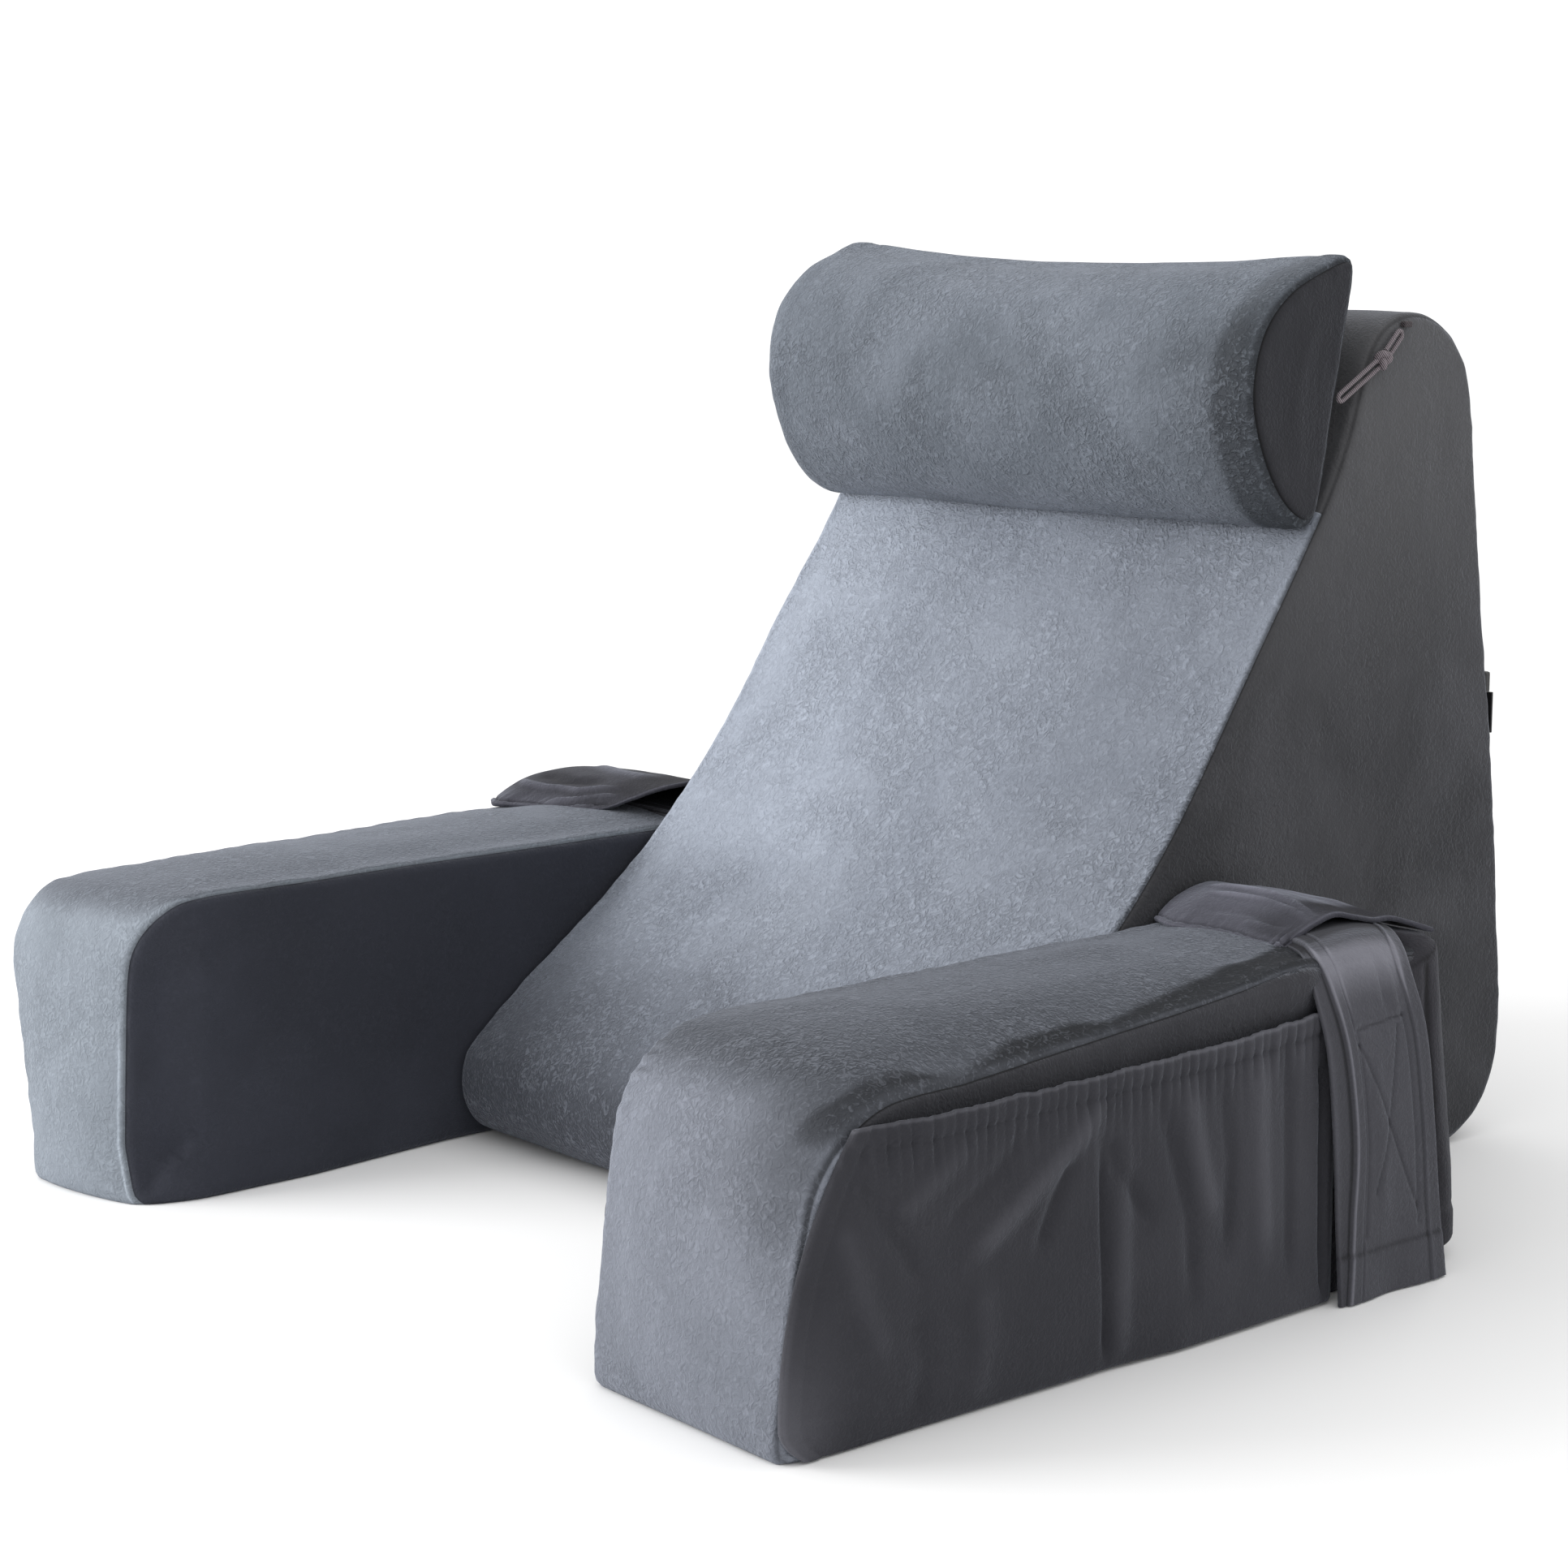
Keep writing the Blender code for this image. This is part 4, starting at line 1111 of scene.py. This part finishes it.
def make_hood(word, side, edges, folds, pull, material):
    """The flap over an arm's rear end: its front border is sewn down and puckered, its side is free.

    pull is where, from 0 to 1 across it, the sewn border gathers into short creases.
    """
    first, second, bow = edges
    bows = [(y,) for y in bow]

    def place(u, v):
        point = Vector(along(first, v)).lerp(Vector(along(second, v)), u)
        point.y += along(bows, u)[0] * (1 - v) ** 2
        point.z += 0.004 * 4 * u * (1 - u) * math.sin(math.pi * v)
        open_cloth = ease(share(v, 0.0, 0.12)) * ease(share(v, 1.0, 0.85))
        point.z += fold_height(u, v, folds) * open_cloth + 0.0005 * wander((u, v, first[0][0]), 0.16, 2.0)
        gather = 0.001 * wander((u, 0.15 * v, first[0][0]), 0.045, 5.0) * bump(v - 0.08, 0.06)
        creases = 0.0022 * math.sin(2 * math.pi * (u - pull) / 0.055) * bump(u - pull, 0.055)
        point.z += (gather + creases * bump(v - 0.09, 0.09)) * share(v, 0.0, 0.03)
        return point

    def raised(u, v):
        stitch = -0.0008 * bump(v - HOOD_STITCH, 0.012)
        hem = 0.0006 * share(v, 0.055, 0.045) + 0.0006 * share(u, 0.945, 0.955)
        return max(stitch + hem, -0.0009)

    def tone(u, v):
        # painted highlights on the front hem and the free side edge, painted shade along the stitch line
        rim = stripes(v, (0.3, 0.008, 0.014), (-0.38, 0.062, 0.014)) + 0.75 * bump(u - 0.993, 0.01)
        # painted highlights on the folds' ridges, painted shade in their troughs
        relief = clamp(fold_height(u, v, folds) / 0.0018) * (1 - 0.5 * share(u, 0.6, 0.8))
        # painted shade over the right hood's outer part and over the left hood's rear
        if side > 0:
            shade = 0.62 * share(u, 0.5, 0.8) * share(v, 0.05, 0.12)
        else:
            shade = 0.25 + 0.45 * share(v, 0.08, 0.22)
        # its rear outer corner is darkened where the sleeve's dark top panel shows
        shade += 0.35 * share(u, 0.7, 0.85) * share(v, 0.34, 0.5)
        return rim + (0.5 if relief > 0 else 0.25) * relief - shade

    widths = [math.dist(along(first, t), along(second, t)) for t in (0.0, 0.5, 1.0)]
    lengths = [sum(math.dist(a, b) for a, b in zip(line, line[1:])) for line in (first, second)]
    cloth_sheet("hood_" + word, material, place, raised, tone, size=(widths[0] + 0.04, 0.112),
                spacing=0.0018, lines=((), (HOOD_STITCH,)))


SLEEVE_FRONT = 0.096
SLEEVE_HEIGHT = 0.19          # at the rear; it is lower beside the strap
SLEEVE_TOP = 0.03             # how far it turns in over the arm's top, behind the strap


SLEEVE_FOLDS = (
    (((0.06, 0.95), (0.08, 0.5), (0.07, 0.05)), 0.0016, 0.022),
    (((0.2, 0.98), (0.17, 0.6), (0.19, 0.2)), -0.0018, 0.026),
    (((0.33, 0.9), (0.3, 0.5), (0.34, 0.15)), 0.002, 0.03),
    (((0.52, 0.95), (0.56, 0.5), (0.5, 0.1)), -0.0016, 0.032),
    (((0.72, 0.95), (0.7, 0.55), (0.76, 0.15)), 0.0016, 0.034),
)


def make_sleeve(word, side, material):
    """The cloth round an arm's rear end, from the strap to the backrest, its top turned in."""
    outer_x = ARM_OUTER + 0.0032  # it clears the arm's outer side and rear by these
    rear_y = ARM_REAR + 0.0062
    radius = ARM_CORNER + 0.002
    corner = (outer_x - radius, rear_y - radius)
    first, turn = corner[1] - SLEEVE_FRONT, radius * math.pi / 2
    last = corner[0] - 0.225
    whole = first + turn + last
    length = SLEEVE_HEIGHT + SLEEVE_TOP
    edge = SLEEVE_HEIGHT / length
    slit = (0.17, 0.192, 0.215)  # its two hems, with its middle between them

    def plan(u):
        """Its run in plan: along the outer side, round the corner and along the rear."""
        d = u * whole
        if d < first:
            return outer_x, SLEEVE_FRONT + d
        if d < first + turn:
            angle = (d - first) / radius
            return corner[0] + radius * math.cos(angle), corner[1] + radius * math.sin(angle)
        return corner[0] - (d - first - turn), rear_y

    def place(u, v):
        x, y = plan(u)
        d = v * length
        up = min(d / SLEEVE_HEIGHT, 1.0)
        hem_rise = 0.014 * max(0.0, 1 - abs(u - 0.35) / 0.35) * (1 - up) ** 3
        height = SLEEVE_HEIGHT - 0.016 * share(u, 0.3, 0.0)
        z = mix(0.0014, height, up) + hem_rise
        out = max(fold_height(u, up, SLEEVE_FOLDS), -0.0015) + 0.0009 * wander((u, up, side), 0.15, 4.0)
        out += 0.006 * bump(z - 0.038, 0.045) * share(u, 0.1, 0.45)
        tilt = share(u * whole, first, first + turn)
        x, y = x + out * (1 - tilt), y + out * tilt - ARM_REAR_LEAN * z / ARM_TOP
        turned = max(d - SLEEVE_HEIGHT, 0.0)
        over = turned * share(u, -0.04, 0.06)
        inward = Vector((-math.cos(tilt * math.pi / 2), -math.sin(tilt * math.pi / 2)))
        z += 0.0024 * ease(share(over, 0.0, 0.006)) + 0.1 * over
        return side * (x + inward.x * over), y + inward.y * over, z

    def raised(u, v):
        hem = 0.0007 * share(v, 0.1, 0.09) - 0.0006 * bump(v - 0.105, 0.01)
        lap = 0.0006 * share(u, 0.045, 0.035)
        return hem + lap - 0.0006 * bump(v - edge, 0.008)

    def tone(u, v):
        # painted highlight and shade along the fold where the top turns in
        seam = stripes(v, (0.35, edge - 0.014, 0.006), (-0.45, edge, 0.007))
        # painted highlights on the slit's hems, painted shade in its opening
        opening = stripes(u, (0.4, slit[0], 0.008), (-0.75, slit[1], 0.014), (0.3, slit[2], 0.008))
        opening *= share(v, 0.3, 0.45) * share(v, edge, edge - 0.02)
        # painted highlights and shade on the folds
        relief = 0.12 * clamp(fold_height(u, v, SLEEVE_FOLDS) / 0.0016)
        # darker towards the hem
        return seam + opening - 0.3 * share(v, 0.6, 0.3) + relief

    cloth_sheet("sleeve_" + word, material, place, raised, tone, size=(whole, length), spacing=0.0034,
                lines=(slit, (edge,)), side=side)


STRAP_PATH = ((0.226, 0.096, 0.193), (0.29, 0.0925, 0.1932), (0.335, 0.08, 0.194),
              (0.364, 0.058, 0.1935), (0.3805, 0.047, 0.18), (0.3885, 0.051, 0.148),
              (0.389, 0.059, 0.096), (0.3885, 0.065, 0.048), (0.389, 0.07, 0.0))
STRAP_WIDTH = 0.078           # under the hood
STRAP_FLARE = 0.014           # how much wider it hangs at the floor
STRAP_ARCH = 0.0065           # how far its middle stands up over the arm
STRAP_FLAT = (0.085, 0.355)   # width and length
# lines of the boxed cross stitch, in metres from the flat strap's corner
STRAP_STITCHES = [[(u * STRAP_FLAT[0], v * STRAP_FLAT[1]) for u, v in line] for line in (
    ((0.27, 0.62), (0.78, 0.88)), ((0.7, 0.6), (0.36, 0.84)), ((0.27, 0.595), (0.78, 0.585)),
    ((0.27, 0.6), (0.27, 0.9)), ((0.78, 0.585), (0.78, 0.9)))]
STRAP_FOLDS = (
    (((0.4, 0.66), (0.46, 0.75), (0.42, 0.88)), 0.001, 0.06),
    (((0.6, 0.4), (0.64, 0.5), (0.62, 0.57)), -0.001, 0.03),
    (((0.7, 0.42), (0.74, 0.52), (0.72, 0.58)), 0.0009, 0.025),
)
# how far across the strap its upper layer's border lies, from under the hood to the floor
STRAP_BORDER = [(across,) for across in (0.02, 0.03, 0.05, 0.08, 0.13, 0.17, 0.19, 0.13, 0.05)]


def make_strap(word, side, material):
    """The arm strap: an under layer, a sewn upper layer with hems, and a boxed cross stitch."""
    layer, hem = 0.14, 0.86       # the upper layer's border, and where its right hem begins
    turned_edge, cross_hem = 0.245, 0.92

    def stitch_distances(u, v):
        p = Vector((u * STRAP_FLAT[0], v * STRAP_FLAT[1]))
        return [nearest_on(line, p)[0] for line in STRAP_STITCHES]

    def follow(u, v):
        """The share of the width at which the column u runs at the height of v."""
        border = along(STRAP_BORDER, v)[0]
        return u * border / layer if u < layer else 1 - (1 - u) * (1 - border) / (1 - layer)

    def place(u, v):
        u = follow(u, v)
        x, y, z = along(STRAP_PATH, v)
        half = (STRAP_WIDTH + STRAP_FLARE * v ** 2) / 2
        wave = 0.0014 * math.sin(9.0 * u + 0.6) * share(v, 0.86, 1.0)
        out = fold_height(u, v, STRAP_FOLDS) + wave + 0.0005 * wander((u, v, side), 0.24, 6.0)
        x += out * share(v, 0.4, 0.5)
        z += STRAP_ARCH * 4 * u * (1 - u) * math.sin(math.pi * share(v, 0.05, 0.6)) + 0.0004 * (v > 0.995)
        return side * x, y + mix(-half, half, u), z

    def raised(u, v):
        lift = 0.0022 * share(u, layer - 0.004, layer + 0.01) - 0.0007 * bump(u - turned_edge, 0.008)
        lift += 0.0008 * share(u, hem - 0.004, hem + 0.006)
        lift += 0.0007 * share(v, cross_hem - 0.002, cross_hem + 0.004)
        return max(lift - sum(0.001 * bump(d, 0.0013) for d in stitch_distances(u, v)), -0.0008)

    def tone(u, v):
        """Painted highlights on the hems, round the stitch holes and on the bend over the arm's edge;
        painted shade in the holes and in the folds beside the hems.
        """
        upper = share(v, 0.58, 0.46)
        pale = stripes(u, (0.55, 0.012, 0.014), (0.95, layer + 0.016, 0.014), (0.35, 0.262, 0.009),
                       (0.45 + 0.35 * upper, hem + 0.012, 0.012), (0.6, 0.985, 0.014))
        dark = stripes(u, (0.6, layer - 0.014, 0.014), (0.45, hem - 0.014, 0.012))
        dark += 0.18 * share(u, layer, layer - 0.02) + 0.12 * share(u, hem, hem + 0.02)
        box = 0.0
        if layer < u < hem:
            box = 0.1 * share(v, 0.58, 0.6) * share(v, 0.93, 0.9)
            box *= share(u, 0.26, 0.28) * share(u, 0.8, 0.78)
        for distance in stitch_distances(u, v):
            dark += 0.38 * bump(distance, 0.0012)
            pale += 0.22 * bump(distance - 0.002, 0.001)
        # painted shade under the hood and along the cross hem, and darker down the hanging part
        shadow = 0.35 * bump(v - cross_hem, 0.004) + 0.7 * share(v, 0.38, 0.31)
        bend = 0.85 * upper * share(v, 0.36, 0.42) * share(u, layer, layer + 0.05) * share(u, 1.0, 0.86)
        return bend - 0.2 * (1 - upper) + pale - dark + box - shadow

    cloth_sheet("strap_" + word, material, place, raised, tone, size=STRAP_FLAT, spacing=0.0015,
                lines=((layer, turned_edge, hem), (cross_hem,)),
                side=-side, half=0.0013)


# ---------------------------------------------------------------- pocket
# folds of the pocket: points (y, z), height and width
POCKET_FOLDS = (
    (((-0.162, 0.15), (-0.19, 0.128), (-0.23, 0.103), (-0.26, 0.085)), 0.0036, 0.0075),
    (((-0.1845, 0.1235), (-0.1967, 0.1039), (-0.208, 0.08)), -0.003, 0.0055),
    (((-0.1578, 0.13), (-0.15, 0.11), (-0.1269, 0.08)), -0.0028, 0.006),
    (((-0.163, 0.13), (-0.16, 0.08), (-0.156, 0.04), (-0.154, 0.006)), -0.0034, 0.0032),
    (((-0.148, 0.125), (-0.147, 0.08), (-0.145, 0.006)), 0.0026, 0.007),
    (((-0.1165, 0.1373), (-0.105, 0.105), (-0.0942, 0.0735), (-0.09, 0.03)), -0.0026, 0.006),
    (((-0.098, 0.143), (-0.088, 0.105), (-0.076, 0.07)), 0.0024, 0.007),
    (((-0.07, 0.148), (-0.062, 0.1), (-0.064, 0.05)), -0.0022, 0.006),
    (((-0.042, 0.15), (-0.038, 0.1), (-0.033, 0.04)), 0.0022, 0.007),
    (((-0.017, 0.15), (-0.014, 0.09), (-0.012, 0.03)), -0.0024, 0.005),
    (((0.013, 0.14), (0.015, 0.128), (0.016, 0.07), (0.0185, 0.006)), -0.0062, 0.003),
    (((-0.215, 0.145), (-0.24, 0.125), (-0.275, 0.105)), -0.0022, 0.0065),
    (((-0.26, 0.145), (-0.285, 0.13), (-0.31, 0.115)), 0.0022, 0.007),
    (((-0.33, 0.14), (-0.315, 0.115), (-0.29, 0.08)), -0.0024, 0.006),
    (((-0.34, 0.12), (-0.33, 0.085), (-0.315, 0.045)), 0.0022, 0.0075),
    (((-0.25, 0.07), (-0.245, 0.04), (-0.25, 0.008)), 0.0018, 0.009),
    (((-0.295, 0.065), (-0.285, 0.035), (-0.29, 0.008)), -0.0018, 0.008),
)


def make_pocket(material):
    """The gathered pocket sewn to the right arm's outer side, open at its elastic top."""
    rear, top_z = 0.033, 0.163    # y of its rear border, z of its elastic top at the front
    stand = 0.0095                # how far it stands off the arm
    turn_in = 0.022               # share of its height that is turned in under it, to the arm
    casing_line = 0.925           # share of its height at which the elastic's casing ends

    def gathers(y, z):
        """Small pleats below the elastic, closer and deeper at the front corner and under the long fold."""
        dense = 1 + 0.5 * bump(y + 0.158, 0.02) + 0.8 * bump(y + 0.318, 0.022)
        fine = math.sin(2 * math.pi * y / 0.0072 + 2.2 * wander((y, 0.1 * z, 0.0), 0.02, 4.0))
        return dense * (0.6 * wander((y, 0.2 * z, 0.0), 0.0075, 7.0) + 0.3 * fine)

    def place(u, v):
        """Its borders lie on the arm, and its foot bulges less towards the front."""
        up, closed = share(v, turn_in, 1.0), share(v, 0.0, turn_in)
        top = top_z + 0.011 * u ** 3 + 0.0012 * math.sin(5.0 * u + 0.4)
        z = mix(0.0014 + 0.0014 * closed, top, up)
        y = mix(pocket_front(z), rear, u)
        along_swell = math.sin(0.5 * math.pi * min(u / 0.16, 1.0)) * math.sqrt(min((1 - u) / 0.028, 1.0))
        foot_out = 0.004 * share(y, -0.3, -0.18) + 0.0055 * share(y, -0.15, -0.1)
        out = stand * mix(foot_out / stand, 1.0, math.sin(0.5 * math.pi * up ** 0.55))
        out += fold_height(y, z, POCKET_FOLDS) * share(up, 0.0, 0.06)
        casing = share(z, top - 0.0125, top - 0.0105)
        pleats = gathers(y, z) * stripes(z - top, (0.0022, -0.013, 0.013), (0.0008, -0.012, 0.04))
        out += pleats - 0.0007 * bump(z - (top - 0.012), 0.003) + 0.0006 * casing
        out = max(out * along_swell, 0.0003) * closed
        arm_side = right_sides(y + foot_ahead(y, z), z)[1]
        return arm_side + 0.0018 + out, y, z + 0.0012 * wander((y, 0.0, 0.0), 0.012, 9.0) * up ** 6

    def raised(u, v):
        return 0.001 * share(u, 0.03, 0.022) - 0.0006 * bump(u - 0.032, 0.004)

    def tone(u, v):
        # painted highlights on the elastic top and the front border
        rim = 0.45 * bump(v - 0.994, 0.007) + 0.22 * bump(u - 0.004, 0.004)
        # painted shade along the casing's stitch line
        casing = 0.04 * share(v, casing_line, 0.94) - 0.16 * bump(v - casing_line, 0.012)
        y, z = mix(pocket_front(v * top_z), rear, u), v * top_z
        # painted highlights and shade on the folds and on the pleats under the elastic
        relief = 0.36 * clamp(fold_height(y, z, POCKET_FOLDS) / 0.0036)
        pleats = 0.3 * clamp(gathers(y, z)) * bump(v - 0.92, 0.07)
        # paler towards the rear and at the front lower corner
        paler_rear_and_corner = 0.2 * share(y, -0.16, -0.06) + 0.55 * share(y, -0.325, -0.368) * share(z, 0.09, 0.02)
        return rim + casing + paler_rear_and_corner + relief + pleats

    cloth_sheet("pocket_right", material, place, raised, tone, size=(0.372, 0.16), spacing=0.0019,
                lines=((), (casing_line,)))


# ---------------------------------------------------------------- neck roll cords
def make_knot(word, side, material):
    """The round knot that joins the two loops: a trefoil tied in the cord."""
    centre = Vector((side * 0.2236, 0.248, 0.518))
    reach = (0.00165 * side, 0.0015, 0.00165)
    curve = bpy.data.curves.new("cord_knot_%s_tied" % word, "CURVE")
    curve.dimensions = "3D"
    curve.bevel_depth = 0.00225
    curve.bevel_resolution = 4
    spline = curve.splines.new("POLY")
    count = 96
    spline.points.add(count - 1)
    spline.use_cyclic_u = True
    for i, point in enumerate(spline.points):
        t = 2 * math.pi * i / count
        trefoil = (math.sin(3 * t), math.sin(t) + 2 * math.sin(2 * t), math.cos(t) - 2 * math.cos(2 * t))
        point.co = (*(c + r * d for c, r, d in zip(centre, reach, trefoil)), 1.0)
    claim(add_piece(curve.name, curve, [material]), "cord_knot_" + word)


def keep_node(name, material):
    """Shows a CAD node as it is, with its own finish."""
    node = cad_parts[name]
    node.data.materials.clear()
    node.data.materials.append(material)


# ---------------------------------------------------------------- zip
def make_zip(material):
    """Teeth of the back zip, which replace its plain chain."""
    low, high, x = 0.125, 0.298, 0.2115
    count = 86
    tooth = (0.0026, 0.0018, 0.0011)
    stagger = 0.0007              # every other tooth belongs to the other tape
    proud = 0.0032                # how far the teeth stand behind the back
    builder = bmesh.new()
    for i in range(count):
        z = mix(low, high, (i + 0.5) / count)
        shift = stagger if i % 2 else -stagger
        made = bmesh.ops.create_cube(builder, size=1.0)["verts"]
        bmesh.ops.scale(builder, vec=tooth, verts=made)
        bmesh.ops.translate(builder, vec=(x + shift, back_line(z) + proud, z), verts=made)
    mesh = bpy.data.meshes.new("zip_teeth")
    builder.to_mesh(mesh)
    builder.free()
    claim(add_piece(mesh.name, mesh, [material]), "zip_chain")


def build():
    # lighter and darker copies of one velvet for its faces: partly pile brushed different ways, partly
    # painted light and shade, lighter on faces that turn to the lamp and darker on those that turn away; the
    # front fades to painted shade towards its foot
    front = velvet("velvet_front", rgb(136, 142, 153), rgb(124, 130, 141), crush=0.8,
                   fade=("Z", 0.155, 0.035, rgb(72, 75, 83)))
    side = velvet("velvet_side", rgb(61, 61, 64), rgb(44, 44, 46), fade=("Z", 0.25, 0.54, rgb(77, 77, 79)),
                  crush=0.35, blotch=9.0)
    roll_front = velvet("velvet_roll", rgb(108, 114, 123), rgb(90, 96, 104), blotch=11.0, crush=0.9)
    roll_end = velvet("velvet_roll_end", rgb(37, 37, 41), rgb(29, 29, 33), crush=0.25)
    # top= darkens the arms' upward faces: partly pile, partly painted shade
    right_top = velvet("velvet_arm_right", rgb(123, 127, 137), rgb(108, 112, 121), crush=0.6,
                       top=(rgb(62, 65, 71), "Z", 0.5, 0.96))
    left_top = velvet("velvet_arm_left", rgb(133, 140, 149), rgb(118, 125, 133), crush=0.5,
                      top=(rgb(82, 86, 93), "Z", 0.55, 0.98))
    arm_inner = velvet("velvet_arm_inner", rgb(50, 52, 61), rgb(40, 42, 50), crush=0.3)
    arm_outer = velvet("velvet_arm_outer", rgb(52, 52, 56), rgb(42, 42, 46), crush=0.4)
    pocket_cloth = velvet("velvet_pocket", rgb(51, 51, 56), rgb(42, 42, 47), crush=0.25, sheen=0.15)
    hood_cloth = velvet("velvet_hood", rgb(76, 76, 85), rgb(66, 66, 74), crush=0.3)
    sleeve_cloth = velvet("velvet_sleeve", rgb(44, 43, 48), rgb(36, 35, 40), crush=0.3, sheen=0.08)
    strap_cloth = velvet("velvet_strap", rgb(68, 68, 74), rgb(60, 60, 65), crush=0.3, sheen=0.18)
    elastic = braid("elastic", rgb(134, 124, 130), rgb(70, 64, 68))
    bar_tack = braid("bar_tack", rgb(66, 58, 62), rgb(38, 34, 37))
    black = moulded("zip_plastic", rgb(22, 22, 24), 0.4)

    make_backrest(front, side)
    make_roll(roll_front, roll_end)
    make_right_arm(right_top, arm_inner, arm_outer)
    make_left_arm(left_top, arm_inner, arm_outer)
    make_pocket(pocket_cloth)
    make_hood("right", 1, HOOD_RIGHT, RIGHT_HOOD_FOLDS, 0.95, hood_cloth)
    make_hood("left", -1, HOOD_LEFT, LEFT_HOOD_FOLDS, 0.88, hood_cloth)
    for side_sign, word in ((1, "right"), (-1, "left")):
        make_sleeve(word, side_sign, sleeve_cloth)
        make_strap(word, side_sign, strap_cloth)
        make_knot(word, side_sign, elastic)
        keep_node("cord_lower_" + word, elastic)
        keep_node("cord_upper_" + word, elastic)
        keep_node("cord_bar_" + word, bar_tack)
    make_zip(black)
    keep_node("zip_slider", black)
    keep_node("zip_pull", black)


add_camera()
add_studio()
build()
